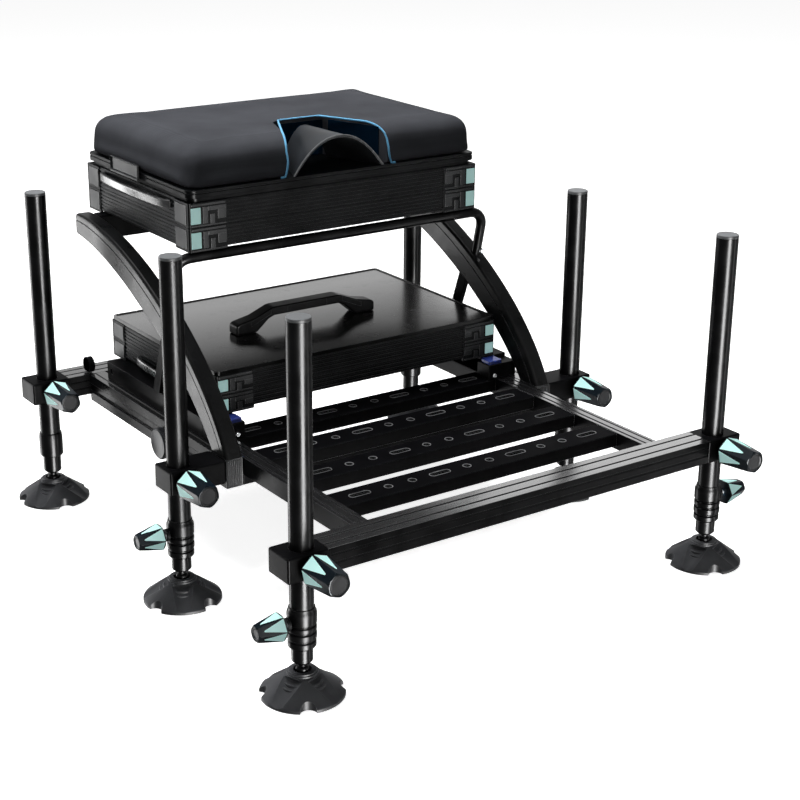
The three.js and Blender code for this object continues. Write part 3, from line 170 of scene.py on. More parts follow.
@dataclass(frozen=True)
class Finish:
    """A rigid surface: its colour with slight clouds, edges painted lighter as a painted highlight, grain and
    roughness.
    """

    name: str
    slot: str
    colour: Colour
    roughness: float
    metallic: float = 0.0
    specular: float = 0.3
    clouds: float = 0.2
    cloud_scale: float = 28.0
    grain: float = 1500.0
    grain_height: float = 0.00003
    stretch: Point = (1.0, 1.0, 1.0)
    # painted edge highlight: how far the rounded edges are painted towards a paler colour, standing in for the light
    # they catch
    edge_highlight: float = 0.35
    edge_highlight_colour: Colour = (0.16, 0.165, 0.17)
    edge: float = 0.0012
    shine: float = 0.0
    # glow: painted light, the surface glows in its own colour though it is no lamp
    glow: float = 0.0
    # painted front shade: the coat thins towards the front, standing in for the dark reflection of what is above
    painted_front_shade: Point = ()
    cloud_band: Point = (0.35, 0.65)
    edge_band: Point = (0.99, 0.86)
    roughness_swing: float = 0.06
    bump: float = 0.6
    top_band: Point = (0.75, 0.98)
    coat_smoothness: float = 0.7
    coat_ior: float = 2.2
    front_shade_share: float = 0.03

    def material(self) -> bpy.types.Material:
        """Builds the node material, or returns it if it is already there.

        Returns:
            The material.
        """
        known = bpy.data.materials.get(self.name)
        if known is not None:
            return known
        graph = Graph(self.name)
        place = graph.place()
        clouds = graph.noise(place, self.cloud_scale, 4.0)
        dark = tuple(value * (1 - self.clouds) for value in self.colour)
        pale = tuple(value * (1 + self.clouds) for value in self.colour)
        tint = graph.ramp(*self.cloud_band, dark, pale)
        graph.join(clouds, "Fac", tint, "Fac")
        surface = graph.add("ShaderNodeNewGeometry")
        # Painted edge highlight: where the Bevel node's normal turns from the surface's, the colour is mixed towards a
        # paler one.
        eased = graph.add("ShaderNodeBevel", samples=4, Radius=self.edge)
        turn = graph.add("ShaderNodeVectorMath", operation="DOT_PRODUCT")
        graph.join(surface, "Normal", turn, 0)
        graph.join(eased, "Normal", turn, 1)
        flush, bent = self.edge_band
        reach = graph.add("ShaderNodeMapRange", From_Min=flush, From_Max=bent, To_Min=0.0, To_Max=self.edge_highlight)
        graph.join(turn, "Value", reach, "Value")
        blend = graph.add("ShaderNodeMix", data_type="RGBA")
        blend.inputs[7].default_value = (*self.edge_highlight_colour, 1.0)
        graph.join(reach, "Result", blend, "Factor")
        graph.tree.links.new(tint.outputs["Color"], blend.inputs[6])
        graph.tree.links.new(blend.outputs[2], graph.shader.inputs["Base Color"])
        rough = graph.spread(self.roughness - self.roughness_swing, self.roughness + self.roughness_swing)
        graph.join(clouds, "Fac", rough, "Value")
        graph.join(rough, "Result", graph.shader, "Roughness")
        grain = graph.noise(graph.place(self.stretch), self.grain, 3.0)
        bump = graph.add("ShaderNodeBump", Strength=self.bump, Distance=self.grain_height)
        graph.join(grain, "Fac", bump, "Height")
        graph.join(bump, "Normal", graph.shader, "Normal")
        graph.shader.inputs["Metallic"].default_value = self.metallic
        graph.shader.inputs["Specular IOR Level"].default_value = self.specular
        if self.shine > 0:
            self.polish(graph, surface)
        # Painted light: the surface glows in its own colour, though it is no lamp.
        if self.glow > 0:
            graph.shader.inputs["Emission Color"].default_value = (*self.colour, 1.0)
            graph.shader.inputs["Emission Strength"].default_value = self.glow
        return graph.material

    def polish(self, graph: Graph, surface: bpy.types.Node) -> None:
        """Gives the faces that look straight up a clear coat, so that they reflect brighter than the sides.

        Args:
            graph: the material's nodes.
            surface: the node that gives the surface's normal.
        """
        split = graph.add("ShaderNodeSeparateXYZ")
        graph.join(surface, "Normal", split, "Vector")
        low, high = self.top_band
        facing = graph.add("ShaderNodeMapRange", From_Min=low, From_Max=high, To_Min=0.0, To_Max=self.shine)
        graph.join(split, "Z", facing, "Value")
        # painted shade: the coat thins towards the front where this is given
        if self.painted_front_shade:
            facing = self.painted_front_shading(graph, facing)
        graph.join(facing, 0, graph.shader, "Coat Weight")
        graph.shader.inputs["Coat Roughness"].default_value = self.roughness * self.coat_smoothness
        graph.shader.inputs["Coat IOR"].default_value = self.coat_ior

    def painted_front_shading(self, graph: Graph, facing: bpy.types.Node) -> bpy.types.Node:
        """Lets the polish fade towards the front: a painted shade that stands in for the dark reflection of the seat
        above it.

        Args:
            graph: the material's nodes.
            facing: the node that gives the polish before it fades.

        Returns:
            The node that gives the faded polish.
        """
        split = graph.add("ShaderNodeSeparateXYZ")
        graph.join(graph.place(), "Vector", split, "Vector")
        front, back = self.painted_front_shade
        depth = graph.add("ShaderNodeMapRange", From_Min=front, From_Max=back, To_Min=self.front_shade_share, To_Max=1.0)
        graph.join(split, "Y", depth, "Value")
        weight = graph.add("ShaderNodeMath", operation="MULTIPLY")
        graph.join(facing, "Result", weight, 0)
        graph.join(depth, "Result", weight, 1)
        return weight


@dataclass(frozen=True)
class Fabric:
    """Woven cloth: crossing bands of yarn, soft clouds and a sheen."""

    name: str
    slot: str
    colour: Colour
    roughness: float = 0.82
    yarns: float = 2400.0
    yarn_height: float = 0.00012
    sheen: float = 0.25
    sheen_roughness: float = 0.4
    specular: float = 0.06
    ior: float = 1.03
    yarns_per_band: float = 6.5
    waver: float = 1.2
    waver_scale: float = 3.0
    weave_share: float = 0.25
    cloud_scale: float = 14.0
    tint_band: Point = (0.3, 0.95)
    dark_share: float = 0.78
    pale_share: float = 1.18
    smoother: float = 0.05
    rougher: float = 0.06
    bump: float = 0.5

    def material(self) -> bpy.types.Material:
        """Builds the node material, or returns it if it is already there.

        Returns:
            The material.
        """
        known = bpy.data.materials.get(self.name)
        if known is not None:
            return known
        graph = Graph(self.name)
        place = graph.place()
        bands, heights = self.yarns / self.yarns_per_band, []
        for axis in ("X", "Y", "Z"):
            wave = graph.add("ShaderNodeTexWave", bands_direction=axis, Scale=bands, Distortion=self.waver)
            wave.inputs["Detail Scale"].default_value = self.waver_scale
            graph.join(place, "Vector", wave, "Vector")
            heights.append(wave)
        first = graph.add("ShaderNodeMath", operation="MAXIMUM")
        graph.join(heights[0], "Fac", first, 0)
        graph.join(heights[1], "Fac", first, 1)
        weave = graph.add("ShaderNodeMath", operation="MULTIPLY")
        graph.join(first, "Value", weave, 0)
        graph.join(heights[2], "Fac", weave, 1)
        clouds = graph.noise(place, self.cloud_scale, 5.0)
        both = graph.add("ShaderNodeMath", operation="MULTIPLY_ADD")
        both.inputs[1].default_value = self.weave_share
        graph.join(weave, "Value", both, 0)
        graph.join(clouds, "Fac", both, 2)
        dark = tuple(value * self.dark_share for value in self.colour)
        pale = tuple(value * self.pale_share for value in self.colour)
        tint = graph.ramp(*self.tint_band, dark, pale)
        graph.join(both, "Value", tint, "Fac")
        graph.join(tint, "Color", graph.shader, "Base Color")
        rough = graph.spread(self.roughness - self.smoother, self.roughness + self.rougher)
        graph.join(clouds, "Fac", rough, "Value")
        graph.join(rough, "Result", graph.shader, "Roughness")
        bump = graph.add("ShaderNodeBump", Strength=self.bump, Distance=self.yarn_height)
        graph.join(weave, "Value", bump, "Height")
        graph.join(bump, "Normal", graph.shader, "Normal")
        graph.shader.inputs["Sheen Weight"].default_value = self.sheen
        graph.shader.inputs["Sheen Roughness"].default_value = self.sheen_roughness
        graph.shader.inputs["Specular IOR Level"].default_value = self.specular
        graph.shader.inputs["IOR"].default_value = self.ior
        return graph.material


class Look(Enum):
    """The finishes of this seat box."""

    TUBE = Finish(
        "anodised tube", "black_alloy", (0.004, 0.004, 0.0045), 0.27, specular=0.03, stretch=(1, 1, 0.03)
    )
    FRAME = Finish("powder coated frame", "black_alloy", (0.004, 0.004, 0.0045), 0.34, specular=0.008)
    BEAM = Finish(
        "anodised beam", "black_alloy", (0.004, 0.004, 0.0045), 0.3, specular=0.01, shine=0.85,
        stretch=(0.02, 1, 1),
    )
    RAIL = Finish(
        "anodised rail", "black_alloy", (0.004, 0.004, 0.0045), 0.3, specular=0.01, shine=0.7,
        stretch=(1, 0.02, 1),
    )
    # The slat's edges get a strong painted highlight.
    SLAT = Finish(
        "matte slat coat", "black_alloy", (0.0025, 0.0025, 0.003), 0.45, specular=0.004, edge_highlight=0.8,
        edge_highlight_colour=(0.3, 0.31, 0.32),
    )
    # Pale grey for the hole rims: a painted highlight on the punched edges.
    EDGE = Finish("painted rim highlight", "black_alloy", (0.20, 0.205, 0.21), 0.4, specular=0.02, edge_highlight=0.1)
    ARCH = Finish("satin arch coat", "black_alloy", (0.005, 0.0052, 0.0055), 0.3, specular=0.04)
    STEEL = Finish("bright screw", "black_alloy", (0.55, 0.56, 0.57), 0.25, metallic=1.0, edge_highlight=0.1)
    SHELL = Finish("moulded tray", "tray_plastic", (0.003, 0.0035, 0.004), 0.38, specular=0.012, edge_highlight=0.3)
    CLIP = Finish("moulded clip", "tray_plastic", (0.008, 0.009, 0.010), 0.4, specular=0.04, edge_highlight=0.5)
    BLACK = Finish("moulded black plastic", "black_plastic", (0.003, 0.003, 0.0035), 0.34, specular=0.03)
    FOOT = Finish("rubbery foot", "black_plastic", (0.048, 0.049, 0.053), 0.45, specular=0.04, grain=700.0)
    KNOB = Finish(
        "navy knob", "knob_plastic", (0.003, 0.007, 0.011), 0.3, specular=0.03, edge_highlight_colour=(0.06, 0.08, 0.09)
    )
    # The mint inserts glow a little: painted light that keeps them pale where they are shaded.
    MINT = Finish(
        "mint insert", "knob_plastic", (0.54, 0.86, 0.82), 0.5, specular=0.02, clouds=0.05, edge_highlight=0.15,
        edge_highlight_colour=(0.7, 0.9, 0.88), glow=0.26,
    )
    GREY = Finish("grey plastic", "grey_plastic", (0.012, 0.013, 0.015), 0.36, specular=0.04)
    CAP = Finish(
        "pale end cap", "grey_plastic", (0.13, 0.135, 0.14), 0.42, specular=0.04, clouds=0.08, edge_highlight_colour=(0.3, 0.3, 0.3)
    )
    GRIP = Finish(
        "satin grip", "grey_plastic", (0.02, 0.02, 0.021), 0.26, specular=0.25, edge_highlight_colour=(0.25, 0.25, 0.25)
    )
    BRIDGE = Finish("bridge plastic", "bridge_plastic", (0.020, 0.022, 0.025), 0.34, specular=0.05)
    BLUE = Finish("blue button", "blue_plastic", (0.03, 0.05, 0.27), 0.3, specular=0.06, edge_highlight_colour=(0.3, 0.36, 0.8))
    # The lid's coat thins towards the front: a painted shade for the dark reflection of the seat over it.
    LID = Finish(
        "satin lid sheet", "lid_sheet", (0.003, 0.003, 0.003), 0.24, specular=0.02, shine=1.0, clouds=0.04,
        grain_height=0.000004, painted_front_shade=(0.02, 0.30),
    )
    COVER = Fabric("charcoal cover", "cushion_fabric", (0.055, 0.057, 0.064), sheen=0.02)
    PIPING = Fabric("blue piping", "cushion_fabric", (0.16, 0.45, 0.72), yarns=1400.0)
    LINING = Fabric("deep blue lining", "cushion_fabric", (0.002, 0.010, 0.022), sheen=0.0)
    WEBBING = Fabric("black webbing", "cushion_fabric", (0.006, 0.006, 0.007), yarns=900.0, sheen=0.05)


class Piece:
    """A mesh under Blender's modelling operators, in millimetres until it is dressed."""

    def __init__(self, obj: bpy.types.Object, name: str) -> None:
        """Takes over an object and gives it its name.

        Args:
            obj: The mesh object.
            name: The name of the object and of its mesh.
        """
        self.obj = obj
        obj.name = name
        obj.data.name = name

    @staticmethod
    def rest() -> None:
        """Leaves edit mode and deselects everything."""
        active = bpy.context.view_layer.objects.active
        if active is not None and active.mode == "EDIT":
            bpy.ops.object.mode_set(mode="OBJECT")
        bpy.ops.object.select_all(action="DESELECT")

    @classmethod
    def taken(cls, name: str) -> "Piece":
        """Wraps the primitive that was just added, with its place brought into its mesh."""
        bpy.ops.object.transform_apply(location=True, rotation=True, scale=True)
        return cls(bpy.context.object, name)

    @classmethod
    def block(cls, name: str, low: Point, high: Point) -> "Piece":
        """A box between two corners, as the start of a piece.

        Args:
            name: name of the piece.
            low: its lowest corner.
            high: its highest corner.

        Returns:
            The new piece.
        """
        cls.rest()
        low, high = Vector(low), Vector(high)
        bpy.ops.mesh.primitive_cube_add(size=1, location=(low + high) / 2)
        bpy.context.object.scale = [abs(value) for value in high - low]
        return cls.taken(name)

    @classmethod
    def rod(cls, name: str, radius: float, start: Point, end: Point, sides: int = 40, far: float = -1) -> "Piece":
        """A round bar or cone between two points.

        Args:
            name: name of the piece.
            radius: radius at the start.
            start: middle of the first end.
            end: middle of the other end.
            sides: number of flats round the bar.
            far: radius at the other end, or below zero for the same radius.

        Returns:
            The new piece.
        """
        cls.rest()
        start, end = Vector(start), Vector(end)
        bpy.ops.mesh.primitive_cone_add(
            vertices=sides, radius1=radius, radius2=radius if far < 0 else far, depth=(end - start).length,
            location=(start + end) / 2, rotation=(end - start).to_track_quat("Z", "Y").to_euler(),
        )
        return cls.taken(name)

    @classmethod
    def turned(cls, name: str, profile: Sequence[Point], sides: int = 64) -> "Piece":
        """A round piece about the Z axis, drawn up from a disc ring by ring.

        Args:
            name: name of the piece.
            profile: radius and height of each ring, from the lowest disc on.
            sides: number of flats round the piece.

        Returns:
            The new piece, standing on the origin.
        """
        cls.rest()
        (radius, height), *rings = profile
        bpy.ops.mesh.primitive_circle_add(vertices=sides, radius=radius, fill_type="NGON", location=(0, 0, height))
        piece = cls.taken(name)
        piece.edit()
        bpy.ops.mesh.select_all(action="SELECT")
        for wider, higher in rings:
            piece.extrude((0, 0, higher - height))
            share = wider / radius
            bpy.ops.transform.resize(value=(share, share, 1), center_override=(0, 0, higher))
            radius, height = wider, higher
        return piece.outward()

    @classmethod
    def section(cls, name: str, points: Sequence[Point]) -> "Piece":
        """A flat face drawn corner by corner, ready to be extruded.

        Args:
            name: name of the piece.
            points: the corners in order, in space.

        Returns:
            The new piece, with its face selected.
        """
        cls.rest()
        bpy.ops.mesh.primitive_plane_add(size=1, location=points[0])
        piece = cls.taken(name)
        piece.edit()
        bpy.ops.mesh.select_mode(type="VERT")
        bpy.ops.mesh.select_all(action="SELECT")
        bpy.ops.mesh.merge(type="CENTER")
        for before, after in zip(points, [*points[1:], points[0]]):
            step = Vector(after) - Vector(before)
            bpy.ops.mesh.extrude_region_move(TRANSFORM_OT_translate={"value": step})
        bpy.ops.mesh.select_all(action="SELECT")
        bpy.ops.mesh.remove_doubles(threshold=MERGE)
        bpy.ops.mesh.edge_face_add()
        return piece

    @classmethod
    def drawn(cls, name: str, axis: str, outline: Sequence[Point], start: float, end: float) -> "Piece":
        """A prism along an axis from an outline in the other two axes.

        Args:
            name: name of the piece.
            axis: X, Y or Z.
            outline: corners in (y, z) for X, (x, z) for Y, or (x, y) for Z.
            start: place of the first end along the axis.
            end: place of the other end.

        Returns:
            The new piece.
        """
        index = "XYZ".index(axis)
        points = []
        for corner in outline:
            point = list(corner)
            point.insert(index, start)
            points.append(point)
        piece = cls.section(name, points)
        step = [0.0, 0.0, 0.0]
        step[index] = end - start
        return piece.extrude(step).outward()

    @classmethod
    def plate(cls, name: str, low: Point, high: Point, corner: float, steps: int = 6) -> "Piece":
        """A flat plate with its four upright corners rounded.

        Args:
            name: name of the piece.
            low: its lowest corner.
            high: its highest corner.
            corner: radius of the upright corners.
            steps: number of flats round a corner.

        Returns:
            The new piece.
        """
        piece = cls.block(name, low, high)
        return piece.edges(lambda a, b: abs(a.z - b.z) > MERGE).bevel(corner, steps)

    @classmethod
    def tube(cls, name: str, path: Sequence[Point], radius: float) -> "Piece":
        """A round bar along a path of points, made from a curve and turned into a mesh.

        Args:
            name: name of the piece.
            path: points of its middle line.
            radius: its radius.

        Returns:
            The new piece.
        """
        cls.rest()
        curve = bpy.data.curves.new(name, "CURVE")
        curve.dimensions = "3D"
        curve.bevel_depth, curve.bevel_resolution, curve.use_fill_caps = radius, 4, True
        spline = curve.splines.new("POLY")
        spline.points.add(len(path) - 1)
        for point, place in zip(spline.points, path):
            point.co = (*place, 1.0)
        obj = bpy.data.objects.new(name, curve)
        bpy.context.scene.collection.objects.link(obj)
        bpy.context.view_layer.objects.active = obj
        obj.select_set(True)
        bpy.ops.object.convert(target="MESH")
        return cls(bpy.context.object, name).outward()

    def edit(self) -> "Piece":
        """Goes into edit mode on this piece alone.

        Returns:
            This piece.
        """
        if bpy.context.view_layer.objects.active != self.obj or self.obj.mode != "EDIT":
            self.chosen()
            bpy.ops.object.mode_set(mode="EDIT")
        return self

    def chosen(self) -> "Piece":
        """Makes this the one selected object, in object mode.

        Returns:
            This piece.
        """
        self.rest()
        bpy.context.view_layer.objects.active = self.obj
        self.obj.select_set(True)
        return self

    def faces(self, test: Callable[[Vector, Vector], bool]) -> "Piece":
        """Selects faces.

        Args:
            test: takes a face's centre and normal, and says whether it is selected.

        Returns:
            This piece.
        """
        self.edit()
        bpy.ops.mesh.select_mode(type="FACE")
        mesh = bmesh.from_edit_mesh(self.obj.data)
        for face in mesh.faces:
            face.select_set(bool(test(face.calc_center_median(), face.normal)))
        bmesh.update_edit_mesh(self.obj.data)
        return self

    def edges(self, test: Callable[[Vector, Vector], bool]) -> "Piece":
        """Selects edges.

        Args:
            test: takes an edge's two ends, and says whether it is selected.

        Returns:
            This piece.
        """
        self.edit()
        bpy.ops.mesh.select_mode(type="EDGE")
        mesh = bmesh.from_edit_mesh(self.obj.data)
        for edge in mesh.edges:
            edge.select_set(bool(test(edge.verts[0].co, edge.verts[1].co)))
        bmesh.update_edit_mesh(self.obj.data)
        return self

    def extrude(self, step: Point) -> "Piece":
        """Extrudes what is selected along a step."""
        bpy.ops.mesh.extrude_region_move(TRANSFORM_OT_translate={"value": tuple(step)})
        return self

    def inset(self, width: float, depth: float = 0.0) -> "Piece":
        """Insets the selected faces, and sinks them where a depth is given."""
        bpy.ops.mesh.inset(thickness=width, depth=-depth, use_even_offset=True)
        return self

    def swell(self, height: float) -> "Piece":
        """Extrudes the selected faces along their normals.

        Args:
            height: How far they move out.

        Returns:
            This piece.
        """
        bpy.ops.mesh.extrude_region_shrink_fatten(
            TRANSFORM_OT_shrink_fatten={"value": height, "use_even_offset": True}
        )
        return self

    def stretch(self, factors: Point, about: Point) -> "Piece":
        """Scales what is selected about a point."""
        bpy.ops.transform.resize(value=tuple(factors), center_override=tuple(about))
        return self

    def bevel(self, width: float, segments: int = 3) -> "Piece":
        """Bevels the selected edges."""
        bpy.ops.mesh.bevel(offset=width, segments=segments, affect="EDGES")
        return self

    def bisect(self, place: Point, normal: Point, trim: bool = False) -> "Piece":
        """Splits the mesh along a plane.

        Args:
            place: a point of the plane.
            normal: its normal.
            trim: whether what lies in front of it is cut away and the cut closed.

        Returns:
            This piece.
        """
        self.edit()
        bpy.ops.mesh.select_all(action="SELECT")
        bpy.ops.mesh.bisect(plane_co=tuple(place), plane_no=tuple(normal), use_fill=trim, clear_outer=trim)
        return self

    def outward(self) -> "Piece":
        """Merges doubles and turns every face outwards.

        Returns:
            This piece.
        """
        self.edit()
        bpy.ops.mesh.select_all(action="SELECT")
        bpy.ops.mesh.remove_doubles(threshold=MERGE)
        bpy.ops.mesh.normals_make_consistent(inside=False)
        return self

    def modified(self, kind: str, **values: object) -> "Piece":
        """Adds a modifier with its settings and applies it.

        Args:
            kind: Blender's name for the modifier type.
            values: its settings.

        Returns:
            This piece.
        """
        self.chosen()
        modifier = self.obj.modifiers.new(kind.lower(), kind)
        for key, value in values.items():
            setattr(modifier, key, value)
        bpy.ops.object.modifier_apply(modifier=modifier.name)
        return self

    def rounded(self, width: float, segments: int = 2, angle: float = 32.0) -> "Piece":
        """Rounds every edge that is sharper than an angle.

        Args:
            width: width of the rounding.
            segments: number of flats across it.
            angle: the angle, in degrees.

        Returns:
            This piece.
        """
        return self.modified(
            "BEVEL", width=width, segments=segments, limit_method="ANGLE", angle_limit=math.radians(angle),
            miter_outer="MITER_ARC", harden_normals=False,
        )

    def minus(self, *tools: "Piece") -> "Piece":
        """Cuts the tools out of the piece."""
        return self.combined("DIFFERENCE", tools)

    def combined(self, operation: str, others: Sequence["Piece"]) -> "Piece":
        """Applies one boolean for each of the others and removes it.

        Args:
            operation: Blender's name for the operation.
            others: the pieces that it takes.

        Returns:
            This piece.
        """
        self.outward()
        for other in others:
            other.outward().chosen()
            self.modified("BOOLEAN", operation=operation, object=other.obj, solver="EXACT")
            bpy.data.meshes.remove(other.obj.data)
        return self

    def beside(self, *others: "Piece") -> "Piece":
        """Joins other pieces to this one as shells of the same mesh.

        Args:
            others: the pieces that it takes in.

        Returns:
            This piece.
        """
        for other in others:
            other.outward()
        self.chosen()
        for other in others:
            other.obj.select_set(True)
        bpy.context.view_layer.objects.active = self.obj
        bpy.ops.object.join()
        return self

    def ringed(self, count: int, centre: Point, axis: Point) -> "Piece":
        """Repeats the whole mesh round an axis.

        Args:
            count: number of repeats, with the first.
            centre: a point of the axis.
            axis: its direction.

        Returns:
            This piece.
        """
        self.edit()
        bpy.ops.mesh.select_all(action="SELECT")
        turn = FULL_TURN * (count - 1) / count
        bpy.ops.mesh.spin(dupli=True, steps=count - 1, angle=turn, center=tuple(centre), axis=tuple(axis))
        return self

    def moved(self, matrix: Matrix) -> "Piece":
        """Turns or shifts the mesh.

        Args:
            matrix: The turn or shift.

        Returns:
            This piece.
        """
        self.rest()
        self.obj.data.transform(matrix)
        return self

    def shifted(self, x: float, y: float, z: float) -> "Piece":
        """Shifts the mesh."""
        return self.moved(Matrix.Translation((x, y, z)))

    def turned_by(self, angle: float, axis: str) -> "Piece":
        """Turns the mesh about an axis through the origin, by degrees."""
        return self.moved(Matrix.Rotation(math.radians(angle), 4, axis))

    def flipped(self, axis: str = "X") -> "Piece":
        """Mirrors the mesh across the origin along an axis.

        Args:
            axis: X, Y or Z.

        Returns:
            This piece.
        """
        factors = [1.0, 1.0, 1.0]
        factors["XYZ".index(axis)] = -1.0
        return self.moved(Matrix.Diagonal((*factors, 1.0))).outward()

    def copied(self, name: str) -> "Piece":
        """A copy of the piece with its own mesh.

        Args:
            name: name of the copy.

        Returns:
            The copy.
        """
        self.rest()
        obj = bpy.data.objects.new(name, self.obj.data.copy())
        bpy.context.scene.collection.objects.link(obj)
        return Piece(obj, name)

    def removed(self) -> None:
        """Deletes the piece, once its copies are made."""
        self.rest()
        bpy.data.meshes.remove(self.obj.data)

    def metres(self) -> "Piece":
        """Brings the mesh from millimetres to metres."""
        return self.moved(Matrix.Scale(UNIT, 4))

    def dress(self, look: Look, node: str, replaces: bool = True, angle: float = 35.0) -> bpy.types.Object:
        """Brings the piece to metres, finishes it and lets it ride with a node's body.

        Args:
            look: its finish.
            node: the node of the frame that it stands for, or rides with.
            replaces: whether it stands for the node.
            angle: edges sharper than this many degrees stay sharp in shading.

        Returns:
            The finished object.
        """
        self.outward().metres()
        return self.clad(look, node, replaces, angle)

    def clad(self, look: Look, node: str, replaces: bool = True, angle: float = 35.0) -> bpy.types.Object:
        """Finishes a piece that is already in metres and lets it ride with a node's body.

        Args:
            look: its finish.
            node: the node of the frame that it stands for, or rides with.
            replaces: whether it stands for the node.
            angle: edges sharper than this many degrees stay sharp in shading.

        Returns:
            The finished object.
        """
        self.chosen()
        bpy.ops.object.shade_smooth_by_angle(angle=math.radians(angle))
        if isinstance(look.value, Finish):
            self.modified("WEIGHTED_NORMAL", keep_sharp=True)
        self.obj.data.materials.clear()
        self.obj.data.materials.append(look.value.material())
        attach(self.obj, BODY_OF[node])
        if replaces:
            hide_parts(node)
        log.info("%s: %d faces, %s", self.obj.name, len(self.obj.data.polygons), look.value.name)
        return self.obj


@dataclass(frozen=True)
class Lamp:
    """A soft rectangular lamp, in metres and watts. A gloss lamp shows in reflections alone."""

    name: str
    place: Point
    aim: Point
    size: Point
    power: float
    gloss: bool = False

    def hang(self) -> None:
        """Puts the lamp in the scene, facing its aim."""
        data = bpy.data.lights.new(self.name, "AREA")
        data.shape, data.size, data.size_y, data.energy = "RECTANGLE", *self.size, self.power
        lamp = bpy.data.objects.new(self.name, data)
        lamp.visible_camera = False
        lamp.visible_diffuse = not self.gloss
        bpy.context.scene.collection.objects.link(lamp)
        lamp.location = self.place
        lamp.rotation_mode = "QUATERNION"
        lamp.rotation_quaternion = (Vector(self.place) - Vector(self.aim)).to_track_quat("Z", "Y")


@dataclass
class Studio:
    """Pale floor, white surroundings, soft lamps and the camera of the photograph."""

    camera_place: Point = (-1.2876, -1.89355, 1.0429)
    camera_turn: float = -35.2
    camera_rise: float = 20.1
    camera_roll: float = 0.6
    lens: float = 76.35
    sensor: float = 36.0
    floor_size: float = 40.0
    floor_drop: float = 0.0006
    floor_pale: float = 0.8
    floor_dull: float = 0.2
    floor_glow: float = 0.84
    surrounding_light: float = 0.1
    lamps: Sequence[Lamp] = (
        Lamp("key", (1.1, -2.9, 1.9), (0, 0, 0.3), (1.5, 2.4), 9),
        Lamp("side", (-3.0, 0.6, 1.9), (0, 0, 0.3), (1.6, 1.6), 12),
        Lamp("top", (-0.3, 0.8, 3.0), (0, 0, 0.3), (2.4, 1.6), 135),
        Lamp("streak", (-0.48, -2.96, -0.7), (0, 0, 0.1), (1.2, 3.4), 3600, gloss=True),
        Lamp("edge", (-1.52, 2.74, -0.4), (0, 0, 0.1), (1.1, 3.4), 160, gloss=True),
        Lamp("thin", (2.2, -2.24, -0.5), (0, 0, 0.1), (0.3, 3.4), 90, gloss=True),
        Lamp("back", (2.2, 1.9, 1.1), (0, 0, 0.2), (1.1, 1.2), 6, gloss=True),
    )

    def camera(self) -> None:
        """Sets up the camera."""
        data = bpy.data.cameras.new("camera")
        data.sensor_width, data.lens = self.sensor, self.lens
        camera = bpy.data.objects.new("camera", data)
        bpy.context.scene.collection.objects.link(camera)
        turn, rise = math.radians(self.camera_turn), math.radians(self.camera_rise)
        back = Vector((math.sin(turn) * math.cos(rise), -math.cos(turn) * math.cos(rise), math.sin(rise)))
        roll = Quaternion((0, 0, 1), math.radians(self.camera_roll))
        camera.rotation_mode = "QUATERNION"
        camera.rotation_quaternion = back.to_track_quat("Z", "Y") @ roll
        camera.location = self.camera_place
        bpy.context.scene.camera = camera

    def unseen(self, tree: bpy.types.NodeTree) -> bpy.types.Node:
        """A value of one for camera, glossy and transmission rays, and zero for the rest.

        Args:
            tree: the nodes that it is added to.

        Returns:
            The node that gives the value.
        """
        path = tree.nodes.new("ShaderNodeLightPath")
        first = tree.nodes.new("ShaderNodeMath")
        second = tree.nodes.new("ShaderNodeMath")
        first.operation = second.operation = "MAXIMUM"
        tree.links.new(path.outputs["Is Camera Ray"], first.inputs[0])
        tree.links.new(path.outputs["Is Glossy Ray"], first.inputs[1])
        tree.links.new(first.outputs[0], second.inputs[0])
        tree.links.new(path.outputs["Is Transmission Ray"], second.inputs[1])
        return second

    def surroundings(self) -> None:
        """Fills the world: white where it is seen, dimmer where it lights."""
        world = bpy.data.worlds.new("surroundings")
        bpy.context.scene.world = world
        world.use_nodes = True
        tree = world.node_tree
        tree.nodes.clear()
        output = tree.nodes.new("ShaderNodeOutputWorld")
        mix = tree.nodes.new("ShaderNodeMixShader")
        lit, seen = tree.nodes.new("ShaderNodeBackground"), tree.nodes.new("ShaderNodeBackground")
        lit.inputs["Color"].default_value = (1.0, 1.0, 1.0, 1.0)
        lit.inputs["Strength"].default_value = self.surrounding_light
        seen.inputs["Color"].default_value = (1.0, 1.0, 1.0, 1.0)
        tree.links.new(self.unseen(tree).outputs[0], mix.inputs[0])
        tree.links.new(lit.outputs[0], mix.inputs[1])
        tree.links.new(seen.outputs[0], mix.inputs[2])
        tree.links.new(mix.outputs[0], output.inputs["Surface"])

    def floor(self) -> None:
        """Lays the floor: white to the camera, with the object's shadow kept, and dull to other rays."""
        bpy.ops.mesh.primitive_plane_add(size=self.floor_size, location=(0, 0, -self.floor_drop))
        floor = bpy.context.object
        floor.name = "floor"
        material = bpy.data.materials.new("pale floor")
        material.use_nodes = True
        tree = material.node_tree
        tree.nodes.clear()
        output = tree.nodes.new("ShaderNodeOutputMaterial")
        matte, glow = tree.nodes.new("ShaderNodeBsdfDiffuse"), tree.nodes.new("ShaderNodeEmission")
        dull = tree.nodes.new("ShaderNodeBsdfDiffuse")
        for node, level in ((matte, self.floor_pale), (glow, self.floor_glow), (dull, self.floor_dull)):
            node.inputs["Color"].default_value = (level, level, level, 1.0)
        total, mix = tree.nodes.new("ShaderNodeAddShader"), tree.nodes.new("ShaderNodeMixShader")
        tree.links.new(matte.outputs[0], total.inputs[0])
        tree.links.new(glow.outputs[0], total.inputs[1])
        tree.links.new(self.unseen(tree).outputs[0], mix.inputs[0])
        tree.links.new(dull.outputs[0], mix.inputs[1])
        tree.links.new(total.outputs[0], mix.inputs[2])
        tree.links.new(mix.outputs[0], output.inputs["Surface"])
        floor.data.materials.append(material)
        floor.visible_glossy = False
        floor.visible_shadow = False

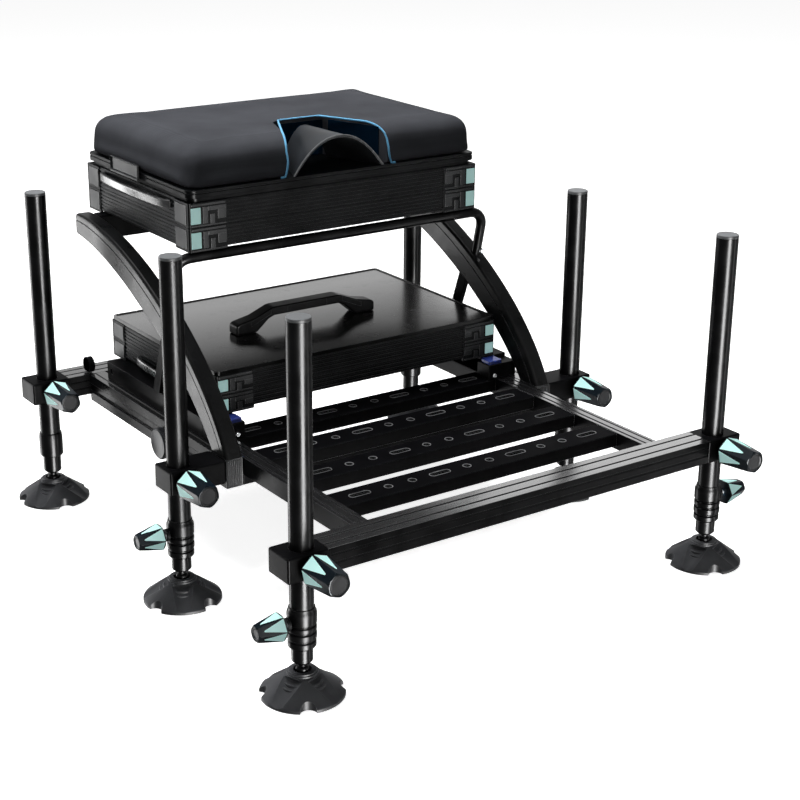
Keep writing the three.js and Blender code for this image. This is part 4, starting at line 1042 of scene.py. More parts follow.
    def build(self) -> None:
        """Sets up everything that isn't the object."""
        Piece.rest()
        self.camera()
        self.surroundings()
        self.floor()
        for lamp in self.lamps:
            lamp.hang()
        bpy.context.scene.view_settings.view_transform = "Standard"


class LegKind(Enum):
    """A leg that clamps on a separate stem, or one whose stem is fixed."""

    CLAMPED = ("front", "mid")
    FIXED = ("rear",)


@dataclass
class Legs:
    """Six tubes with caps and collars, their stems and their round feet."""

    radius: float = 15.0
    wall: float = 1.4
    top: float = 478.0
    cap: float = 4.0
    plug: float = 4.0
    collar_low: float = 64.0
    sleeve_low: float = 70.0
    collar: Sequence[Point] = (
        (15.8, 0), (17.6, 2), (17.6, 8), (16.0, 10), (16.0, 11), (18.1, 12.5), (18.3, 16), (18.1, 19.5), (16.2, 21),
        (16.2, 22), (18.0, 23.5), (18.2, 26), (18.0, 28.5), (16.3, 30), (16.3, 31), (18.4, 33), (18.5, 45),
        (18.0, 48), (16.6, 50), (16.4, 53),
    )
    sleeve: Sequence[Point] = ((16.0, 0), (17.4, 2), (17.5, 30), (16.8, 35), (16.0, 37))
    stem_radius: float = 13.3
    stem_high: float = 184.0
    shoulder: float = 42.0
    neck: float = 5.2
    ball: Sequence[Point] = ((3.0, 7.4), (7.0, 10.0), (8.9, 14.0), (8.4, 18.5), (5.6, 22.5))
    nut: Sequence[Point] = ((7.6, 30.0), (8.6, 31.5), (8.6, 34.0), (7.2, 36.5))
    foot_radius: float = 53.0
    foot_top: float = 33.0
    hub: Sequence[Point] = ((23, 27.4), (21, 28.6), (19.5, 28.9), (19.2, 30.6), (17.4, 31), (17.1, 32.6))
    hub_radius: float = 15.6
    socket: Sequence[Point] = ((11.6, 33.0), (10.2, 24))
    foot_ribs: Sequence[Point] = ((31, 16.6), (26, 20.6))
    foot_petals: int = 4
    foot_turns: Sequence[float] = (21.0, 63.0, 40.0)
    scoop_radius: float = 22.0
    scoop_depth: float = 7.2
    scoop_lean: float = 28.5
    scoop_place: Point = (20.0, 0, 29.0)
    notch: float = 10.5

    def tube(self, kind: LegKind) -> Piece:
        """The outer tube with its ringed collar or plain sleeve.

        Args:
            kind: which of the two it has.

        Returns:
            The tube, standing on the Z axis.
        """
        r = self.radius
        clamped = kind is LegKind.CLAMPED
        low, rings = (self.collar_low, self.collar) if clamped else (self.sleeve_low, self.sleeve)
        profile = [(ring, low + height) for ring, height in rings]
        start = profile[-1][1]
        profile += [(r, start + 0.4), (r, self.top - self.cap)]
        tube = Piece.turned("leg_tube", profile, 64)
        depth = self.top - self.cap - self.plug - low
        tube.faces(lambda c, n: n.z < -FACING and c.z < low + 0.5)
        tube.inset(profile[0][0] - (r - self.wall)).extrude((0, 0, depth))
        return tube.rounded(0.35, 2, 40)

    def end_cap(self) -> Piece:
        """The pale cap on top of a tube.

        Returns:
            The cap, on the Z axis.
        """
        low, r = self.top - self.cap, self.radius
        profile = [(r - 2, low - 3), (r - 2, low), (r, low + 0.2), (r, self.top - 1.2), (r - 0.5, self.top - 0.3)]
        return Piece.turned("leg_cap", [*profile, (r - 1.5, self.top), (r - 3.5, self.top - 0.2)], 64)

    def stem(self) -> Piece:
        """The inner leg with its neck, its nut and the ball in the foot.

        Returns:
            The stem, on the Z axis.
        """
        r, s = self.stem_radius, self.shoulder
        profile = [*self.ball, (self.neck, 24), (self.neck, 29), *self.nut, (self.neck, 37.5), (self.neck, s - 1)]
        profile += [(self.neck + 1, s), (r - 3.4, s + 0.3), (r - 0.4, s + 3.2), (r, s + 4), (r, self.stem_high)]
        return Piece.turned("stem", profile, 48)

    def foot(self) -> Piece:
        """The round foot: flat petals with a notched rim between deep scoops, and a stepped hub.

        Returns:
            The foot with its ribs.
        """
        r = self.foot_radius
        rim = [(r, 0), (r, 3.6), (r - 1, 5.4)]
        foot = Piece.turned("foot", [*rim, *self.hub, (self.hub_radius, self.foot_top), *self.socket], 96)
        count = self.foot_petals
        scoop = Piece.rod("scoop", self.scoop_radius, (0, 0, 0), (r, 0, 0), 48)
        lean = Matrix.Rotation(math.radians(self.scoop_lean), 4, "Y")
        top = Matrix.Translation(self.scoop_place)
        scoop.moved(top @ lean @ Matrix.Translation((0, 0, self.scoop_radius - self.scoop_depth)))
        notch = Piece.rod("notch", self.notch, (r + 1, 0, -5), (r + 1, 0, 30), 40).turned_by(180 / count, "Z")
        cuts = []
        for i in range(count):
            turn = i * 360 / count
            cuts.append(scoop.copied("scoop_cut").turned_by(turn, "Z"))
            cuts.append(notch.copied("notch_cut").turned_by(turn, "Z"))
        scoop.removed()
        notch.removed()
        foot.minus(*cuts).rounded(0.6, 2, 30)
        ribs = []
        for far, high in self.foot_ribs:
            crown = [(far - 0.6, high + 0.8), (far - 2, high + 0.8)]
            ribs.append(Piece.turned("rib", [(far, 6), (far, high), *crown, (far - 2.6, high), (far - 2.6, 6)], 96))
        return foot.beside(*ribs)

    def build(self) -> None:
        """Makes each kind of piece once and copies it to its legs."""
        cap, stem, foot = self.end_cap(), self.stem(), self.foot()
        for kind in LegKind:
            tube = self.tube(kind)
            for place in kind.value:
                for hand, _ in HANDS:
                    key = f"{place}_{hand}"
                    low, high = span(f"leg_{key}")
                    x, y = (low.x + high.x) / 2, (low.y + high.y) / 2
                    tube.copied(f"tube_{key}").shifted(x, y, 0).dress(Look.TUBE, f"leg_{key}")
                    cap.copied(f"tube_cap_{key}").shifted(x, y, 0).dress(Look.CAP, f"leg_{key}", False)
                    stem.copied(f"inner_leg_{key}").shifted(x, y, 0).dress(Look.TUBE, f"stem_{key}")
                    turn = self.foot_turns[("front", "mid", "rear").index(place)]
                    base = foot.copied(f"round_foot_{key}").turned_by(turn, "Z").shifted(x, y, 0)
                    base.dress(Look.FOOT, f"foot_{key}", angle=28)
            tube.removed()
        for piece in (cap, stem, foot):
            piece.removed()


@dataclass
class Knob:
    """A tapered knob with six inserts, built along +Z with its back at the origin."""

    kind: str
    back: float
    face: float
    length: float
    neck: float
    neck_radius: float
    insert: float
    flat: float
    disc: float
    flats: int = 6
    insert_share: float = 0.93
    tip_share: float = 0.12

    def body(self) -> Piece:
        """The cone with its neck, rounded lip and tilted flats.

        Returns:
            The body, along the Z axis.
        """
        b, f, n, end = self.back, self.face, self.neck, self.neck + self.length
        r = self.neck_radius
        profile = [(r, 0), (r, n - 0.6), (b - 3.5, n), (b - 0.8, n + 1.4), (b, n + 3.6), (f + 0.6, end - 3.4)]
        profile += [(f - 0.1, end - 1.6), (f - 1.5, end - 0.3), (f - 2.6, end), (self.disc + 0.3, end)]
        profile += [(self.disc + 0.1, end - 2.0)]
        cone = Piece.turned(self.kind, profile, 72)
        tilt = self.tilt()
        for i in range(self.flats):
            turn = Matrix.Rotation(i * FULL_TURN / self.flats, 3, "Z")
            cone.bisect(turn @ Vector((self.flat, 0, n)), turn @ Vector((math.cos(tilt), 0, math.sin(tilt))), True)
        return cone.rounded(0.5, 2, 30)

    def tilt(self) -> float:
        """Angle by which the flats lean in towards the face."""
        return math.atan2(self.flat - (self.face - 0.4), self.insert)

    def inserts(self) -> Piece:
        """Pointed inserts, one on each flat.

        Returns:
            The inserts, as one piece.
        """
        start = self.neck + 2.4
        half = math.sqrt(self.back**2 - self.flat**2) * self.insert_share
        tip, point = start + self.insert, half * self.tip_share
        outline = [(-half, start), (half, start), (point, tip - 1.2), (0, tip), (-point, tip - 1.2)]
        insert = Piece.drawn("insert", "X", outline, -0.8, 0.35).rounded(0.3, 2, 40)
        lean = Matrix.Rotation(-self.tilt(), 4, "Y")
        base = Matrix.Translation((self.flat, 0, self.neck))
        insert.moved(base @ lean @ Matrix.Translation((0, 0, -self.neck)))
        return insert.ringed(self.flats, (0, 0, 0), (0, 0, 1))

    def face_disc(self) -> Piece:
        """The grey disc sunk in the knob's face.

        Returns:
            The disc, on the Z axis.
        """
        end, d = self.neck + self.length, self.disc
        profile = [(d - 0.2, end - 3), (d, end - 1.3), (d - 0.5, end - 0.6), (d - 1.6, end - 0.5), (d - 2.4, end - 1.1)]
        return Piece.turned("face_disc", [*profile, (0.6, end - 1.1)], 48)


@dataclass
class Knobs:
    """The clamp knobs on the beams, the stem knobs on the collars and the flat slide lock."""

    stem_height: float = 98.0
    boss_reach: float = 18.8
    boss_height: float = 5.0
    clamp_turn: float = 12.0
    lock_radius: float = 22.5
    lock_thickness: float = 13.0
    lock_gap: float = 0.3
    teeth: int = 24
    tooth: float = 1.3

    def clamp(self) -> None:
        """The six clamp knobs, pointing to the front."""
        kind = Knob(
            "clamp", back=21.0, face=16.0, length=52.0, neck=8.0, neck_radius=10.0, insert=36.0, flat=18.6, disc=12.4
        )
        parts = ((kind.body(), "clamp_knob", Look.KNOB), (kind.inserts(), "clamp_inserts", Look.MINT))
        parts += ((kind.face_disc(), "clamp_face", Look.GREY),)
        for part, name, look in parts:
            part.turned_by(self.clamp_turn, "Z").turned_by(90, "X")
            for place in ("front", "mid", "rear"):
                for hand, _ in HANDS:
                    node = f"clamp_knob_{place}_{hand}"
                    low, high = span(node)
                    leg_low, leg_high = span(f"leg_{place}_{hand}")
                    x, z = (leg_low.x + leg_high.x) / 2, (low.z + high.z) / 2
                    piece = part.copied(f"{name}_{place}_{hand}").shifted(x, low.y + kind.neck + kind.length, z)
                    piece.dress(look, node, look is Look.KNOB, 30)
            part.removed()

    def stem(self) -> None:
        """The four small knobs on the collars, pointing out to the sides."""
        kind = Knob(
            "stem", back=18.5, face=11.5, length=36.0, neck=5.0, neck_radius=3.2, insert=27.0, flat=16.2, disc=8.0
        )
        parts = ((kind.body(), "stem_knob_head", Look.KNOB), (kind.inserts(), "stem_inserts", Look.MINT))
        parts += ((kind.face_disc(), "stem_face", Look.KNOB), (self.screw(), "stem_screw", Look.STEEL))
        parts += ((self.boss(), "stem_boss", Look.BLACK),)
        for part, name, look in parts:
            for place in ("front", "mid"):
                for hand, side in HANDS:
                    node = f"stem_knob_{place}_{hand}"
                    leg_low, leg_high = span(f"leg_{place}_{hand}")
                    x, y = (leg_low.x + leg_high.x) / 2, (leg_low.y + leg_high.y) / 2
                    reach = 0.0 if name == "stem_boss" else self.boss_height
                    out = Matrix.Translation((side * (self.boss_reach + reach), 0, self.stem_height))
                    turn = Matrix.Rotation(side * math.pi / 2, 4, "Y")
                    piece = part.copied(f"{name}_{place}_{hand}").moved(out @ turn).shifted(x, y, 0)
                    piece.dress(look, node, name == "stem_knob_head", 30)
            part.removed()

    def screw(self) -> Piece:
        """The bright neck between a stem knob and its boss."""
        return Piece.turned("screw", [(3.6, -1.0), (3.6, 5.4)], 32).rounded(0.3)

    def boss(self) -> Piece:
        """The round boss on the collar."""
        return Piece.turned("boss", [(8.3, 0.1), (8.5, 1.0), (8.4, 3.4), (7.4, 4.7), (5.0, self.boss_height)], 48)

    def lock(self) -> None:
        """The flat ribbed knob of the slide lock."""
        low, high = span("slide_lock")
        r, t = self.lock_radius, self.lock_thickness
        profile = [(r - 3, 0), (r - 1.6, 0.2), (r, 2), (r, t - 2.2), (r - 2, t - 0.2), (r - 3, t), (r - 8, t - 1.4)]
        knob = Piece.turned("lock_knob", [*profile, (2, t - 1.6)], 72)
        tooth = Piece.rod("tooth", self.tooth, (r + 0.5, 0, -1), (r + 0.5, 0, t + 1), 16)
        tooth.ringed(self.teeth, (0, 0, 0), (0, 0, 1))
        knob.minus(tooth).rounded(0.35, 2, 35).turned_by(-90, "Y")
        outer = -span("main_rail_left")[0].x + self.lock_gap
        knob.shifted(-outer, (low.y + high.y) / 2, (low.z + high.z) / 2)
        knob.dress(Look.GREY, "slide_lock")

    def build(self) -> None:
        """Makes all the knobs."""
        self.clamp()
        self.stem()
        self.lock()


@dataclass
class Chassis:
    """Beams, leg blocks, main rails, mid blocks, the cross bar and the footplate."""

    block_length: float = 60.0
    groove: float = 1.6
    bore: float = 15.4
    rail_width: float = 25.0
    cap_ribs: int = 7
    cap_pitch: float = 2.9
    slots: Sequence[float] = (-1.5, -0.5, 0.5, 1.5)
    hole_pairs: Sequence[float] = (-1, 0, 1)
    slot_pitch: float = 126.0
    slot_reach: float = 15.5
    slot_half: float = 5.0
    hole_offset: float = 18.75
    hole_radius: float = 5.5
    slat_sheet: float = 2.5
    slat_fold: float = 18.5

    def beam(self, node: str) -> None:
        """A grooved beam with a smooth leg block at each end.

        Args:
            node: the node that it stands for.
        """
        low, high = span(node)
        y, half = (low.y + high.y) / 2, (high.y - low.y) / 2 - 1
        bottom, top, g = low.z + 1, high.z, self.groove
        front = [(y - half, bottom), (y - half, bottom + 9)]
        for z in (bottom + 10, bottom + 21):
            front += [(y - half, z), (y - half + 1.4, z + 0.5), (y - half + 1.4, z + 2.5), (y - half, z + 3)]
        crown = [(y - half, top)]
        for middle in (y - 9, y + 9):
            crown += [(middle - g, top), (middle - g + 0.5, top - 1.5)]
            crown += [(middle + g - 0.5, top - 1.5), (middle + g, top)]
        back = [(2 * y - u, z) for u, z in reversed(front)]
        inner = high.x - self.block_length
        beam = Piece.drawn(f"{node}_bar", "X", [*front, *crown, (y + half, top), *back], -inner - 4, inner + 4)
        beam.rounded(0.45, 2, 40).dress(Look.BEAM, node)
        for hand, side in HANDS:
            x0, x1 = sorted((side * inner, side * high.x))
            leg = span(f"leg_{node.split('_')[0]}_{hand}")
            x = (leg[0].x + leg[1].x) / 2
            block = Piece.block(f"{node}_block_{hand}", (x0, low.y, low.z), (x1, high.y, high.z)).rounded(2.6, 3)
            block.minus(Piece.rod("bore", self.bore, (x, y, low.z - 5), (x, y, high.z + 5), 64))
            block.rounded(0.3, 2, 60).dress(Look.FRAME, node, False)

    def rail(self, hand: str, side: int) -> None:
        """A main rail with its outer groove and a ribbed cap in front.

        Args:
            hand: left or right.
            side: -1 or 1.
        """
        node = f"main_rail_{hand}"
        low, high = span(node)
        outer, inner = (low.x, high.x) if side < 0 else (high.x, low.x)
        middle = (low.z + high.z) / 2
        s = side
        outline = [(outer, low.z), (outer, middle - 7), (outer - s * 1.2, middle - 6), (outer - s * 1.2, middle - 5)]
        outline += [(outer - s * 3, middle - 5), (outer - s * 3, middle + 5), (outer - s * 1.2, middle + 5)]
        outline += [(outer - s * 1.2, middle + 6), (outer, middle + 7), (outer, high.z), (outer - s * 6, high.z)]
        outline += [(outer - s * 7, high.z - 1), (outer - s * 9, high.z - 1), (outer - s * 10, high.z)]
        outline += [(inner, high.z), (inner, high.z - 8.5), (inner + s * 5.4, high.z - 8.5)]
        outline += [(inner + s * 5.4, high.z - 17.3), (inner, high.z - 17.3), (inner, low.z)]
        rail = Piece.drawn(f"{node}_bar", "Y", outline, low.y + 2.2, high.y)
        rail.rounded(0.5, 2, 40).dress(Look.RAIL, node)
        x0, x1 = sorted((outer, inner))
        cap = Piece.block(f"{node}_cap", (x0, low.y, low.z), (x1, low.y + 2.4, high.z))
        cap.faces(lambda c, n: n.y < -FACING).inset(2.2, 0.8).outward()
        cap.rounded(0.35, 2)
        rib = Piece.block("rib", (x0 + 3.6, low.y, low.z + 3.2), (x0 + 4.9, low.y + 1.2, high.z - 3.2)).rounded(0.25)
        ribs = [rib.copied(f"rib_{i}").shifted(i * self.cap_pitch, 0, 0) for i in range(self.cap_ribs)]
        rib.removed()
        cap.beside(*ribs).dress(Look.GREY, node, False)

    def mid_block(self, hand: str) -> None:
        """The block that carries a middle leg beside its rail.

        Args:
            hand: left or right.
        """
        node = f"mid_block_{hand}"
        low, high = span(node)
        leg = span(f"leg_mid_{hand}")
        x, y = (leg[0].x + leg[1].x) / 2, (leg[0].y + leg[1].y) / 2
        block = Piece.block(f"{node}_body", low, high).rounded(2.6, 3)
        block.minus(Piece.rod("bore", self.bore, (x, y, low.z - 5), (x, y, high.z + 5), 64))
        block.rounded(0.3, 2, 60).dress(Look.FRAME, node)

    def bar(self, node: str, radius: float, look: Look) -> None:
        """A plain bar with rounded edges.

        Args:
            node: the node that it stands for.
            radius: radius of its edges.
            look: its finish.
        """
        Piece.block(f"{node}_tube", *span(node)).rounded(radius, 4).dress(look, node)

    def plate_rail(self, hand: str, side: int) -> None:
        """A footplate rail with two grooves on top and its sliding shoe.

        Args:
            hand: left or right.
            side: -1 or 1.
        """
        node = f"footplate_rail_{hand}"
        low, high = span(node)
        outer = side * (abs(span(f"main_rail_{hand}")[0 if side > 0 else 1].x) - 0.4)
        inner = outer - side * self.rail_width
        s, top = side, high.z
        outline = [(outer, low.z), (outer, top)]
        for reach in (5.2, 16.8):
            u = outer - s * reach
            outline += [(u, top), (u - s * 0.6, top - 1.3), (u - s * 2.4, top - 1.3), (u - s * 3, top)]
        outline += [(inner, top), (inner, low.z)]
        rail = Piece.drawn(f"{node}_bar", "Y", outline, low.y, high.y).rounded(0.45, 2, 40)
        shoe_x = high.x if side > 0 else low.x
        x0, x1 = sorted((outer - s, shoe_x))
        shoe = Piece.block("shoe", (x0, high.y - 95, low.z + 8.7), (x1, high.y, low.z + 16.3)).rounded(0.6)
        rail.beside(shoe).dress(Look.RAIL, node)

    def slats(self) -> None:
        """Four folded slats with long slots and pairs of round holes."""
        low, high = span("slat_1")
        top, half = high.z, (high.y - low.y) / 2
        y, sheet, fold = (low.y + high.y) / 2, self.slat_sheet, self.slat_fold
        outline = [(-half, top - fold), (-half, top), (half, top), (half, top - fold), (half - sheet, top - fold)]
        outline += [(half - sheet, top - sheet), (sheet - half, top - sheet), (sheet - half, top - fold)]
        slat = Piece.drawn("slat", "X", [(y + u, z) for u, z in outline], low.x, high.x)
        slat.edges(lambda a, b: min(a.z, b.z) > top - 0.1 and abs(a.y - b.y) < 0.1).bevel(1.6, 3)
        reach, half_slot = self.slot_reach, self.slot_half
        slots = [slot * self.slot_pitch for slot in self.slots]
        holes = [pair * self.slot_pitch + side * self.hole_offset for pair in self.hole_pairs for side in (-1, 1)]
        tools = []
        for x in slots:
            low_corner, high_corner = (x - reach, y - half_slot, top - 6), (x + reach, y + half_slot, top + 4)
            tools.append(Piece.plate("slot", low_corner, high_corner, half_slot - 0.1, 8))
        for x in holes:
            tools.append(Piece.rod("hole", self.hole_radius, (x, y, top - 6), (x, y, top + 4), 32))
        slat.minus(*tools).rounded(0.5, 2, 60)
        # pale rims round the slots and holes, painted as a highlight on their edges
        slot_rim = self.hole_rim(half_slot + 0.2, reach - half_slot + 0.1)
        hole_rim = self.hole_rim(self.hole_radius + 0.1, 0.0)
        rims = [slot_rim.copied("slot_rim").shifted(x, y, top) for x in slots]
        rims += [hole_rim.copied("hole_rim").shifted(x, y, top) for x in holes]
        first, *rest = rims
        first.beside(*rest)
        for i in range(1, 5):
            shift = span(f"slat_{i}")[0].y - low.y
            slat.copied(f"perforated_slat_{i}").shifted(0, shift, 0).dress(Look.SLAT, f"slat_{i}")
            first.copied(f"slat_rims_{i}").shifted(0, shift, 0).dress(Look.EDGE, f"slat_{i}", False, 60)
        for piece in (slat, first, slot_rim, hole_rim):
            piece.removed()

    def hole_rim(self, radius: float, reach: float) -> Piece:
        """The pale rim round a hole, its grey a painted highlight on the hole's edge, drawn out into a slot where a
        reach is given.

        Args:
            radius: radius of its ends.
            reach: half the distance between the ends' middles.

        Returns:
            The rim, lying round the origin.
        """
        Piece.rest()
        bpy.ops.mesh.primitive_torus_add(major_radius=radius, minor_radius=0.6, major_segments=28, minor_segments=6)
        rim = Piece.taken("rim")
        for side in (-1, 1):
            rim.edit()
            bpy.ops.mesh.select_mode(type="VERT")
            mesh = bmesh.from_edit_mesh(rim.obj.data)
            for vertex in mesh.verts:
                vertex.select_set(vertex.co.x * side > 0.05)
            mesh.select_flush_mode()
            bmesh.update_edit_mesh(rim.obj.data)
            bpy.ops.transform.translate(value=(side * reach, 0, 0))
        return rim.outward()

    def build(self) -> None:
        """Makes the whole chassis and the footplate."""
        self.beam("front_beam")
        self.beam("rear_beam")
        for hand, side in HANDS:
            self.rail(hand, side)
            self.mid_block(hand)
            self.plate_rail(hand, side)
        self.bar("mid_cross_bar", 1.5, Look.FRAME)
        self.bar("rear_cross_tube", 3.0, Look.FRAME)
        self.slats()


@dataclass
class Arches:
    """The curved arches, the bent support tube between them and its bolts."""

    foot: float = 302.0
    run: float = 420.0
    rise: float = 229.0
    foot_lean: float = 60.0
    foot_pull: float = 135.0
    top_pull: float = 140.0
    foot_depth: float = 37.0
    middle_depth: float = 46.0
    top_depth: float = 31.0
    deck: float = 194.3
    front_axis: float = -345.85
    steps: int = 40
    bead_share: float = 0.34
    tube_radius: float = 7.5
    tube_bend: float = 26.0
    bend_steps: int = 12
    bolt: Sequence[Point] = ((4.4, 0), (4.6, 1.2), (4.2, 3.4), (3.0, 5.0), (1.2, 5.8))

    def curve(self, t: float) -> tuple[Vector, Vector]:
        """Finds the centre line at a share of the way.

        Args:
            t: the share, from the foot.

        Returns:
            The point there and the direction of the line, in (y, z).
        """
        lean = math.radians(self.foot_lean)
        a = Vector((self.front_axis + self.foot, self.deck - 0.3))
        d = Vector((a.x + self.run, a.y + self.rise))
        b = a + self.foot_pull * Vector((math.cos(lean), math.sin(lean)))
        c = d - Vector((self.top_pull, 0))
        s = 1 - t
        point = s**3 * a + 3 * s * s * t * b + 3 * s * t * t * c + t**3 * d
        along = 3 * s * s * (b - a) + 6 * s * t * (c - b) + 3 * t * t * (d - c)
        return point, along.normalized()

    def depth(self, t: float) -> float:
        """Depth of the arch at a share of the way."""
        bulge = self.middle_depth - (self.foot_depth + self.top_depth) / 2
        return mixed(self.foot_depth, self.top_depth, t) + 4 * t * (1 - t) * bulge

    def band(self, low: float, high: float, more: float = 0.0) -> list[Point]:
        """Outline along the arch between two shares of its half depth.

        Args:
            low: the lower share.
            high: the upper share.
            more: what is added above the upper one.

        Returns:
            The corners, in (y, z).
        """
        upper, lower = [], []
        for i in range(-1, self.steps + 1):
            point, along = self.curve(max(i, 0) / self.steps)
            if i < 0:
                point = point - along * self.foot_depth
            half = self.depth(max(i, 0) / self.steps) / 2
            out = Vector((-along.y, along.x))
            upper.append(tuple(point + out * (half * high + more)))
            lower.append(tuple(point + out * (half * low)))
        return [*upper, *reversed(lower)]

    def meeting(self, start: Vector, step: Vector) -> Vector:
        """Where a line meets the centre line.

        Args:
            start: a point of the line, in (y, z).
            step: its direction.

        Returns:
            The point of the centre line, in (y, z).
        """
        spots = [self.curve(i / 400)[0] for i in range(401)]
        along = step.normalized()
        across = Vector((-along.y, along.x))
        return min(spots, key=lambda spot: abs((spot - start).dot(across)) + (0 if spot.y > start.y else 1000))

    def arch(self, hand: str) -> None:
        """One arch: a flat plate under a rounded bead, parted by a fine groove on both sides.

        Args:
            hand: left or right.
        """
        node = f"arch_{hand}"
        low, high = span(node)
        arch = Piece.drawn(f"{node}_bow", "X", self.band(-1, 1), low.x, high.x)
        arch.rounded(5.0, 5, 40)
        groove = self.band(self.bead_share, self.bead_share, 1.5)
        cuts = [Piece.drawn("groove", "X", groove, x - 1.4, x + 1.4) for x in (low.x, high.x)]
        cuts.append(Piece.block("under", (low.x - 5, low.y - 200, 60), (high.x + 5, low.y + 200, self.deck)))
        arch.minus(*cuts).rounded(0.35, 2, 50).dress(Look.ARCH, node, angle=30)

    def support_tube(self) -> None:
        """The bent tube that stands on both arches under the front of the trays."""
        low, high = span("seat_support_tube")
        radius, bend, steps = self.tube_radius, self.tube_bend, self.bend_steps
        top, y = high.z - radius, low.y + radius
        reach = (span("arch_right")[0].x + span("arch_right")[1].x) / 2
        foot = Vector((0, 18.0, low.z - top - 2)).normalized()
        length = (top - low.z) / -foot.z
        path = []
        for side in (-1, 1):
            corner = []
            for i in range(steps + 1):
                angle = math.pi / 2 * i / steps
                x = side * (reach - bend + bend * math.sin(angle))
                corner.append(Vector((x, y, top)) + foot * (bend - bend * math.cos(angle)))
            corner.append(Vector((side * reach, y, top)) + foot * length)
            path += corner if side > 0 else corner[::-1]
        Piece.tube("support_bow", path, radius).dress(Look.TUBE, "seat_support_tube", angle=40)
        for hand, side in HANDS:
            end = Vector((side * (reach + 3), y + 7, low.z + 9))
            bolt = Piece.turned(f"support_bolt_{hand}", self.bolt, 32)
            bolt.turned_by(90, "X").shifted(*end).dress(Look.STEEL, "seat_support_tube", False)

    def build(self) -> None:
        """Makes both arches and the tube."""
        for hand, _ in HANDS:
            self.arch(hand)
        self.support_tube()


